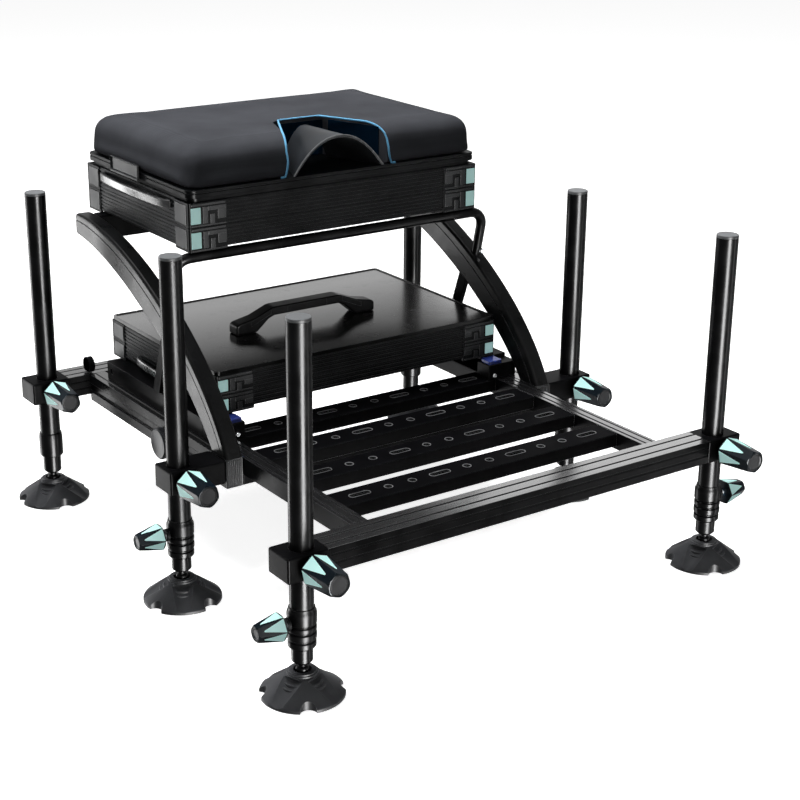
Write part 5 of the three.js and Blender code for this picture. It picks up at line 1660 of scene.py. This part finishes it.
@dataclass
class Trays:
    """The ribbed trays of the seat and of the lower box, with corner clips and side grips."""

    wall: float = 3.0
    floor: float = 2.5
    rib_height: float = 2.6
    rib_pitch: float = 5.6
    rib_out: float = 1.0
    clip_front: float = 58.0
    clip_side: float = 40.0
    clip_wall: float = 3.0
    clip_out: float = 1.0
    plate_out: float = 2.0
    plate_root: float = 0.4
    mint_width: float = 17.0
    seat_tray_rim: float = 506.0
    box_tray_rim: float = 278.0
    grip_steps: int = 24
    grip_height: float = 12.0
    grip_depth: float = 5.5
    grip_end: float = 6.0
    grip_squareness: float = 0.35
    seat_grip_half: float = 107.0
    seat_grip_low: float = 490.0
    seat_grip_bulge: float = 15.0
    box_grip_half: float = 75.0
    box_grip_low: float = 231.0
    box_grip_bulge: float = 12.8

    def shell(self, node: str, low: Vector, high: Vector, ribs: int) -> Piece:
        """An open box with horizontal ribs all round.

        Args:
            node: the node that it stands for.
            low: lowest corner of the walls, without the ribs.
            high: highest corner of the walls.
            ribs: number of ribs up the wall.

        Returns:
            The shell.
        """
        shell = Piece.block(f"{node}_shell", low, high)
        shell.faces(lambda c, n: n.z > FACING).inset(self.wall).extrude((0, 0, self.floor - (high.z - low.z)))
        pitch = (high.z - low.z) / ribs
        bands = [(low.z + (i + 0.5) * pitch - self.rib_height / 2, self.rib_height) for i in range(ribs)]
        for start, height in bands:
            shell.bisect((0, 0, start), (0, 0, 1)).bisect((0, 0, start + height), (0, 0, 1))
        for start, height in bands:
            shell.faces(
                lambda c, n: abs(n.z) < 0.1 and start < c.z < start + height and (
                    min(abs(c.x - low.x), abs(c.x - high.x), abs(c.y - low.y), abs(c.y - high.y)) < 0.1
                )
            )
            shell.swell(self.rib_out)
        return shell.outward().rounded(0.35, 2, 40)

    def clip(self, height: float) -> dict[str, Piece]:
        """A corner clip round the corner at the origin, reaching along +X and +Y.

        Args:
            height: height of the clip.

        Returns:
            Its base, its raised plates and its insert.
        """
        a, b, h, wall, out = self.clip_front, self.clip_side, height, self.clip_wall, self.clip_out
        outline = [(-out, -out), (a, -out), (a, wall), (wall, wall), (wall, b), (-out, b)]
        base = Piece.drawn("clip_base", "Z", outline, 0, h)
        base.edges(lambda p, q: abs(p.z - q.z) > 1 and max(p.x, p.y) < 0).bevel(wall, 4)
        base.rounded(0.6, 2)
        m, face, root = self.mint_width, -self.plate_out, -self.plate_root
        raised = {
            "lip": (m - 14, a - 3, h - 4.4, h - 1.2),
            "foot_lip": (m - 14, a - 2, 1.0, 3.4),
            "plate": (m + 3, m + 11, 4.6, h - 6),
            "bridge": (m + 11, a - 2, h - 12, h - 6),
            "hook": (m + 26, a - 2, 9, h - 11.5),
            "tongue": (m + 14.5, m + 21.5, 2, h * 0.5),
        }
        plates = [Piece.block(name, (x0, face, z0), (x1, root, z1)) for name, (x0, x1, z0, z1) in raised.items()]
        plates.append(Piece.block("side_plate", (face, 7, 4), (root, b - 2, h - 3)))
        first, *rest = [plate.rounded(0.5, 2) for plate in plates]
        insert = Piece.block("clip_insert", (2.0, face, 5.0), (m, 0.5, h - 6.5)).rounded(0.7, 3)
        return {"base": base, "plates": first.beside(*rest), "insert": insert}

    def clips(self, node: str, low: Vector, high: Vector) -> None:
        """Copies the clip to the four corners of a tray.

        Args:
            node: the node that it rides with.
            low: lowest corner of the clips.
            high: highest corner of the clips.
        """
        parts = self.clip(high.z - low.z)
        looks = {"base": Look.SHELL, "plates": Look.CLIP, "insert": Look.MINT}
        for hand, side in HANDS:
            for end, back in (("front", -1), ("back", 1)):
                for name, part in parts.items():
                    piece = part.copied(f"{node}_{name}_{end}_{hand}")
                    if side > 0:
                        piece.flipped("X")
                    if back > 0:
                        piece.flipped("Y")
                    x = low.x if side < 0 else high.x
                    y = low.y if back < 0 else high.y
                    piece.shifted(x, y, low.z).dress(looks[name], node, False)
        for part in parts.values():
            part.removed()

    def grips(self, node: str, box: tuple[Vector, Vector], half: float, z: float, bulge: float) -> None:
        """The bowed side grips of a tray.

        Args:
            node: the node that they ride with.
            box: corners of the tray's ribs in x and y.
            half: half their length.
            z: their underside.
            bulge: how far they stand out from the wall.
        """
        wall, middle, steps = box[1].x - 1, (box[0].y + box[1].y) / 2, self.grip_steps
        y0, y1, end = middle - half, middle + half, self.grip_end
        for hand, side in HANDS:
            outer, inner = [], []
            for i in range(steps + 1):
                share = i / steps
                bow = math.sin(math.pi * share) ** self.grip_squareness
                outer.append((side * (wall + mixed(3.0, bulge, bow)), mixed(y0, y1, share)))
                reach = mixed(-1.5, bulge - self.grip_depth, bow)
                inner.append((side * (wall + reach), mixed(y0 + end, y1 - end, share)))
            outline = [*outer, *reversed(inner)]
            grip = Piece.drawn(f"{node}_grip_{hand}", "Z", outline, z, z + self.grip_height)
            grip.rounded(2.2, 3, 50).dress(Look.GRIP, node, False)

    def tray(self, node: str, clip_low: float, wall_low: float, top: float, box: tuple[Vector, Vector]) -> None:
        """One tray with its clips.

        Args:
            node: the node that it stands for.
            clip_low: underside of its clips.
            wall_low: underside of its walls.
            top: its rim.
            box: corners of the tray's ribs in x and y.
        """
        low = Vector((box[0].x + 1, box[0].y + 1, wall_low))
        high = Vector((box[1].x - 1, box[1].y - 1, top))
        ribs = round((top - wall_low) / self.rib_pitch)
        self.shell(node, low, high, ribs).dress(Look.SHELL, node)
        self.clips(node, Vector((box[0].x, box[0].y, clip_low)), Vector((box[1].x, box[1].y, top)))

    def build(self) -> None:
        """Makes the four trays and their grips."""
        lower = span("seat_tray_lower")
        box = (lower[0] + Vector((1, 1, 0)), lower[1] - Vector((1, 1, 0)))
        self.tray("seat_tray_lower", lower[0].z, lower[0].z + 3, lower[1].z, box)
        joint = span("seat_tray_upper")[0].z
        self.tray("seat_tray_upper", joint, joint, self.seat_tray_rim, box)
        self.grips("seat_tray_upper", box, self.seat_grip_half, self.seat_grip_low, self.seat_grip_bulge)
        upper, lower = span("box_tray_upper"), span("box_tray_lower")
        box = (Vector((upper[0].x + 1, upper[0].y + 1, 0)), Vector((upper[1].x - 1, lower[1].y - 1, 0)))
        self.tray("box_tray_upper", upper[0].z, upper[0].z, self.box_tray_rim, box)
        self.tray("box_tray_lower", lower[0].z, lower[0].z + 4, lower[1].z, box)
        self.grips("box_tray_lower", box, self.box_grip_half, self.box_grip_low, self.box_grip_bulge)


@dataclass
class Seat:
    """The seat's lid, latch, cushion with its piped notch, and the bridge in the notch."""

    corner: float = 12.0
    lid_height: float = 11.5
    latch_axis: float = 2.6
    pad_corner: float = 22.0
    pad_shoulder: float = 26.0
    pad_crown: float = 5.0
    voxel: float = 0.005
    swell_steps: int = 20
    pressure: float = 4.0
    stiffness: float = 60.0
    pinned: float = 0.008
    puff: float = 0.0025
    notch_front: float = 84.0
    notch_back: float = 46.0
    notch_depth: float = 107.0
    piping_radius: float = 1.5
    lining_start: float = 16.0
    lining_sheet: float = 1.2
    bridge_front: float = 75.0
    bridge_back: float = 39.0
    bridge_sheet: float = 3.0
    bridge_power: float = 2.1
    bridge_steps: int = 36
    bridge_spans: int = 10

    def lid(self) -> None:
        """The lid: a plate with a groove round its edge, on a drawn-in lip."""
        low, high = span("seat_lid")
        tray = span("seat_tray_lower")
        x, y0, y1 = tray[1].x - 1, low.y, high.y
        base = high.z - self.lid_height
        lid = Piece.plate("seat_lid_plate", (-x, y0, base), (x, y1, base + 6.4), self.corner).rounded(0.9, 3, 60)
        waist = Piece.plate("waist", (-x + 1.3, y0 + 1.3, base + 6), (x - 1.3, y1 - 1.3, base + 8), self.corner)
        rim = Piece.plate("rim", (-x, y0, base + 7.6), (x, y1, high.z), self.corner).rounded(0.9, 3, 60)
        lip = Piece.plate("lip", (-x + 4, y0 + 4, low.z), (x - 4, y1 - 4, base + 1), self.corner)
        lid.beside(waist, rim, lip).dress(Look.SHELL, "seat_lid")

    def latch(self) -> None:
        """The latch: a framed plate with a sunk panel on its barrel."""
        low, high = span("seat_latch")
        x, z = high.x - self.latch_axis, low.z + self.latch_axis
        plate = Piece.block("latch_plate", (low.x, low.y, z), (low.x + 4.2, high.y, high.z))
        plate.faces(lambda c, n: n.x < -FACING).inset(2.8, 2.6).outward()
        plate.rounded(0.8, 3)
        barrel = Piece.rod("barrel", 2.5, (x, low.y, z), (x, high.y, z), 32).rounded(0.4)
        plate.beside(barrel).dress(Look.CLIP, "seat_latch")

    def body(self, low: Vector, high: Vector) -> Piece:
        """The stuffed shape before it swells: soft shoulders and round corners.

        Args:
            low: lowest corner of the cushion.
            high: highest corner of the cushion.

        Returns:
            The shape, in millimetres.
        """
        top = high.z - self.pad_crown
        piece = Piece.plate("cushion_pad", low, (high.x, high.y, top), self.pad_corner, 10)
        return piece.edges(lambda a, b: min(a.z, b.z) > top - 0.1).bevel(self.pad_shoulder, 8)

    def cushion(self) -> Piece:
        """Blows the cushion up as cloth, then cuts its notch.

        Returns:
            The cushion in metres.
        """
        low, high = span("seat_cushion")
        pad = self.body(low, high).outward().metres()
        pad.modified("REMESH", mode="VOXEL", voxel_size=self.voxel)
        self.inflate(pad, low.z * UNIT)
        pad.modified("SMOOTH", factor=0.5, iterations=6)
        pad.modified("SUBSURF", levels=1, render_levels=1)
        pad.bisect((0, 0, low.z * UNIT + 0.0004), (0, 0, -1), True)
        pad.minus(self.notch_tool(low, high))
        return pad

    def inflate(self, pad: Piece, bottom: float) -> None:
        """Runs the cloth under pressure for a few frames, with its underside pinned, and caps its travel.

        Args:
            pad: the cushion, in metres.
            bottom: height of its underside.
        """
        before = [vertex.co.copy() for vertex in pad.obj.data.vertices]
        group = pad.obj.vertex_groups.new(name="pinned")
        group.add([v.index for v in pad.obj.data.vertices if v.co.z < bottom + self.pinned], 1.0, "ADD")
        pad.chosen()
        modifier = pad.obj.modifiers.new("cloth", "CLOTH")
        cloth = modifier.settings
        cloth.use_pressure, cloth.uniform_pressure_force = True, self.pressure
        cloth.effector_weights.gravity = 0.0
        cloth.vertex_group_mass = "pinned"
        cloth.tension_stiffness = cloth.compression_stiffness = self.stiffness
        scene = bpy.context.scene
        for number in range(1, self.swell_steps + 1):
            scene.frame_set(number)
        bpy.ops.object.modifier_apply(modifier="cloth")
        scene.frame_set(1)
        for vertex, start in zip(pad.obj.data.vertices, before):
            travel = vertex.co - start
            if travel.length > self.puff:
                vertex.co = start + travel * (self.puff / travel.length)

    def notch_tool(self, low: Vector, high: Vector) -> Piece:
        """The tapering block that cuts the notch, with rounded inner corners.

        Args:
            low: lowest corner of the cushion.
            high: highest corner of the cushion.

        Returns:
            The block, in metres.
        """
        y0, y1 = low.y - 10, low.y + self.notch_depth
        flare = (self.notch_front - self.notch_back) * 10 / self.notch_depth
        front, back = self.notch_front + flare, self.notch_back
        outline = [(-front, y0), (front, y0), (back, y1), (-back, y1)]
        tool = Piece.drawn("notch_tool", "Z", outline, low.z - 8, high.z + 30)
        tool.edges(lambda a, b: abs(a.z - b.z) > 1 and min(a.y, b.y) > y1 - 1).bevel(12, 6)
        return tool.outward().metres()

    def edge_path(self, pad: Piece, low: Vector) -> list[Point]:
        """Points along the notch's upper edge, found by dropping on to the finished cushion.

        Args:
            pad: the cushion, in metres.
            low: its lowest corner, in millimetres.

        Returns:
            The points, in millimetres.
        """
        y0, y1 = low.y + 0.5, low.y + self.notch_depth
        plan = [Vector((-self.notch_front - 1.6, y0)), Vector((-self.notch_back - 1.6, y1 - 12))]
        plan += [Vector((-self.notch_back + 10, y1 + 1.6)), Vector((self.notch_back - 10, y1 + 1.6))]
        plan += [Vector((self.notch_back + 1.6, y1 - 12)), Vector((self.notch_front + 1.6, y0))]
        dense = []
        for start, end in zip(plan, plan[1:]):
            count = max(2, int((end - start).length / 4))
            dense += [start.lerp(end, i / count) for i in range(count)]
        dense.append(plan[-1])
        for _ in range(3):
            dense = [dense[0], *[(a + 2 * b + c) / 4 for a, b, c in zip(dense, dense[1:], dense[2:])], dense[-1]]
        bpy.context.view_layer.update()
        path = []
        for spot in dense:
            hit, place, _, _ = pad.obj.ray_cast(Vector((spot.x, spot.y, 900)) * UNIT, Vector((0, 0, -1)))
            if hit and place.z > (low.z + 3) * UNIT:
                path.append(tuple(place / UNIT))
        return path

    def piping(self, pad: Piece) -> None:
        """Blue piping over the notch's edge and down its front corners.

        Args:
            pad: the cushion, in metres.
        """
        low, _ = span("seat_cushion")
        crest = self.edge_path(pad, low)
        first, last = Vector(crest[0]), Vector(crest[-1])
        down, steps = [], 8
        for end, side in ((first, -1), (last, 1)):
            foot = Vector((end.x + side * 4, low.y - 0.5, low.z + 1.5))
            line = []
            for i in range(1, steps + 1):
                share = i / steps
                point = end.lerp(foot, share)
                point.x = end.x + side * 5 * share**3
                point.y = mixed(end.y, low.y - 0.4, min(1.0, share * 3))
                line.append(tuple(point))
            tail = Vector(line[-1])
            line.append((tail.x + side * 3, tail.y, tail.z - 0.4))
            line.append((tail.x + side * 7, tail.y + 0.4, tail.z - 0.6))
            down.append(line)
        path = [*reversed(down[0]), *crest, *down[1]]
        Piece.tube("notch_piping", path, self.piping_radius).dress(Look.PIPING, "seat_cushion", False)

    def lining(self) -> None:
        """The dark blue wall round the inside of the notch."""
        low, high = span("seat_cushion")
        y0, y1, t = low.y + self.lining_start, low.y + self.notch_depth, self.lining_sheet
        f = mixed(self.notch_front, self.notch_back, self.lining_start / self.notch_depth)
        b, z = self.notch_back, high.z - 8
        outer = [(-f, y0), (-b, y1), (b, y1), (f, y0)]
        inner = [(f - t, y0), (b - t, y1 - t), (t - b, y1 - t), (t - f, y0)]
        lining = Piece.drawn("notch_lining", "Z", [*outer, *inner], low.z + 0.6, z)
        lining.dress(Look.LINING, "seat_cushion", False)

    def bridge(self) -> None:
        """The arched sheet in the notch, narrower at its back, with a pale front lip."""
        low, high = span("seat_bridge")
        height, steps, sheet, spans = high.z - low.z, self.bridge_steps, self.bridge_sheet, self.bridge_spans

        def arc(half: float, rise: float, y: float, reverse: bool) -> list[Point]:
            """Points of a rounded arch across the notch.

            Args:
                half: half its width.
                rise: its height.
                y: its place along the notch.
                reverse: whether it runs from right to left.

            Returns:
                The points.
            """
            points = []
            for i in range(steps + 1):
                share = 2 * i / steps - 1
                points.append((half * share, y, low.z + rise * (1 - abs(share) ** self.bridge_power)))
            return points[::-1] if reverse else points

        y0, y1 = low.y, high.y
        front = [*arc(self.bridge_front, height, y0, False), *arc(self.bridge_front - sheet, height - sheet, y0, True)]
        bridge = Piece.section("notch_bridge", front)
        for i in range(spans):
            bridge.extrude((0, (y1 - y0) / spans, 0))
            before, after = (mixed(self.bridge_front, self.bridge_back, (i + k) / spans) for k in (0, 1))
            bridge.stretch((after / before, 1, 1), (0, 0, low.z))
        bridge.outward().rounded(0.6, 2, 50).dress(Look.BRIDGE, "seat_bridge", angle=40)
        lip = [Vector(point) + Vector((0, -0.2, 0.2)) for point in arc(self.bridge_front, height, y0 + 1.0, False)]
        Piece.tube("bridge_lip", lip, 1.1).dress(Look.CAP, "seat_bridge", False)

    def build(self) -> None:
        """Makes the seat."""
        self.lid()
        self.latch()
        pad = self.cushion()
        self.piping(pad)
        self.lining()
        cover = pad.clad(Look.COVER, "seat_cushion", angle=50)
        self.bridge()


@dataclass
class LowerBox:
    """The lower box's lid and handle, its supports with braces, and the catches."""

    rim: float = 3.2
    sheet: float = 1.5
    lid_height: float = 6.0
    lid_corner: float = 6.0
    arms: Sequence[Point] = (
        (-120, 0), (-120, 13), (-116, 16.5), (-88, 22), (-60, 33), (-54, 34), (54, 34), (60, 33), (88, 22),
        (116, 16.5), (120, 13), (120, 0), (86, 0), (66, 17), (56, 21), (-56, 21), (-66, 17), (-86, 0),
    )
    zone_half: float = 34.0
    arm_zone: Sequence[Point] = ((62, 24), (62, 30.5), (96, 17), (96, 10))
    support_inner: float = 215.0
    support_outer: float = 262.0
    support_top: float = 221.7
    support_sheet: float = 3.0
    support_hole: float = 4.2
    block_inner: float = 211.0
    block_top: float = 216.6
    brace_inner: float = 254.0
    brace_ends: Point = (154.15, 174.15)
    brace_lean: Point = (-58, 160)

    def lid(self) -> None:
        """The flat lid: a satin field sunk in a thin rim."""
        low, high = span("box_lid")
        base = high.z - self.lid_height
        y1 = span("box_tray_lower")[1].y - 1
        lid = Piece.plate("box_lid_plate", (low.x, low.y, base), (high.x, y1, high.z), self.lid_corner)
        lid.faces(lambda c, n: n.z > FACING).inset(self.rim).inset(0.6, self.sheet).outward()
        lid.rounded(0.5, 2, 40).dress(Look.LID, "box_lid")

    def handle(self) -> None:
        """The carrying handle: sloping arms, a raised grip and an inset zone on its face."""
        low, high = span("box_lid_handle")
        base, y0, y1 = low.z, low.y, high.y
        middle = (low.x + high.x) / 2
        outline = [(x, base + z) for x, z in self.arms]
        handle = Piece.drawn("lid_handle", "Y", outline, y0, y1).rounded(3.2, 4, 30)
        zone = Piece.plate("zone", (-self.zone_half, y0 - 2, base + 22), (self.zone_half, y0 + 0.5, base + 32), 0.1, 1)
        zone.beside(zone.copied("zone_back").shifted(0, y1 - y0 + 1.5, 0))
        for side in (-1, 1):
            corners = [(side * x, base + z) for x, z in self.arm_zone]
            handle.minus(Piece.drawn("arm_zone", "Y", corners, y0 - 2, y0 + 0.7))
        handle.minus(zone).shifted(middle, 0, 0).rounded(0.3, 2, 50).dress(Look.BLACK, "box_lid_handle", angle=30)

    def support(self, hand: str, side: int) -> None:
        """A channel on the rail with its catch block, screw and brace post.

        Args:
            hand: left or right.
            side: -1 or 1.
        """
        node = f"box_support_{hand}"
        low, high = span(node)
        inner, outer, sheet = side * self.support_inner, side * self.support_outer, self.support_sheet
        z0, top, y1 = low.z, self.support_top, high.y
        y0 = span("box_tray_lower")[0].y + 0.5
        web = outer - side * sheet
        outline = [(inner, z0), (outer, z0), (outer, top), (inner, top), (inner, top - sheet), (web, top - sheet)]
        outline += [(web, z0 + sheet), (inner, z0 + sheet)]
        channel = Piece.drawn(f"{node}_channel", "Y", outline, y0, y1)
        spot = Vector((outer, y1 - 14, z0 + 14))
        hole = Piece.rod("hole", self.support_hole, spot - Vector((9, 0, 0)), spot + Vector((9, 0, 0)), 32)
        channel.minus(hole).rounded(0.7, 2).dress(Look.FRAME, node)
        x0, x1 = sorted((side * self.block_inner, outer))
        button = span(f"box_catch_{hand}")
        block = Piece.block(f"{node}_catch_block", (x0, low.y, z0), (x1, y0 + 3, self.block_top)).rounded(1.2, 3)
        pocket = Piece.block("pocket", button[0] - Vector((0.5, 0.5, 3)), button[1] + Vector((0.5, 0.5, 30)))
        block.minus(pocket).dress(Look.FRAME, node, False)
        screw = Vector(((x0 + x1) / 2 - side * 14, low.y, z0 + 5))
        Piece.rod(f"{node}_screw", 3.4, screw, screw - Vector((0, 1.4, 0)), 24, 2.6).dress(Look.STEEL, node, False)
        feet = [Vector((y, top - sheet)) for y in self.brace_ends]
        front, back = (Arches().meeting(foot, Vector(self.brace_lean)) for foot in feet)
        x0, x1 = sorted((side * self.brace_inner, outer))
        brace = Piece.drawn(f"{node}_brace", "X", [*feet, back, front], x0, x1)
        brace.rounded(1.4, 3).dress(Look.FRAME, node, False)

    def catch(self, hand: str) -> None:
        """The blue button in its pocket.

        Args:
            hand: left or right.
        """
        node = f"box_catch_{hand}"
        low, high = span(node)
        button = Piece.block(f"{node}_cap", low, high)
        button.edges(lambda a, b: abs(a.z - b.z) > 1).bevel(3, 4)
        button.rounded(0.9, 3, 50).dress(Look.BLUE, node)

    def build(self) -> None:
        """Makes the lid, its handle, the supports and the catches."""
        self.lid()
        self.handle()
        for hand, side in HANDS:
            self.support(hand, side)
            self.catch(hand)


@dataclass
class StrapLoop:
    """The loop of webbing at the left rear corner."""

    x: float = -272.0
    y: float = 364.0
    z: float = 196.0
    rise: float = 10.0
    width: float = 9.0
    outer: float = 12.0
    inner: float = 10.6
    start: float = -60.0
    sweep: float = 300.0
    steps: int = 28

    def build(self) -> None:
        """Bends a flat strap into a loop that stands on the rail."""
        outline = []
        for radius in (self.outer, self.inner):
            ring = []
            for i in range(self.steps + 1):
                angle = math.radians(self.start + self.sweep * i / self.steps)
                ring.append((self.y + radius * math.cos(angle), self.z + self.rise + radius * math.sin(angle)))
            outline += ring[::-1]
        loop = Piece.drawn("strap_loop", "X", outline, self.x - self.width / 2, self.x + self.width / 2)
        loop.dress(Look.WEBBING, "main_rail_left", False)


def main() -> None:
    """Builds the studio and every sub-assembly in order."""
    logging.basicConfig(level=logging.INFO, format="%(message)s", stream=sys.stdout)
    Studio().build()
    for part in (Legs(), Knobs(), Chassis(), Arches(), Trays(), Seat(), LowerBox(), StrapLoop()):
        part.build()
        log.info("%s done", type(part).__name__)
    Piece.rest()


if __name__ == "__main__":
    main()
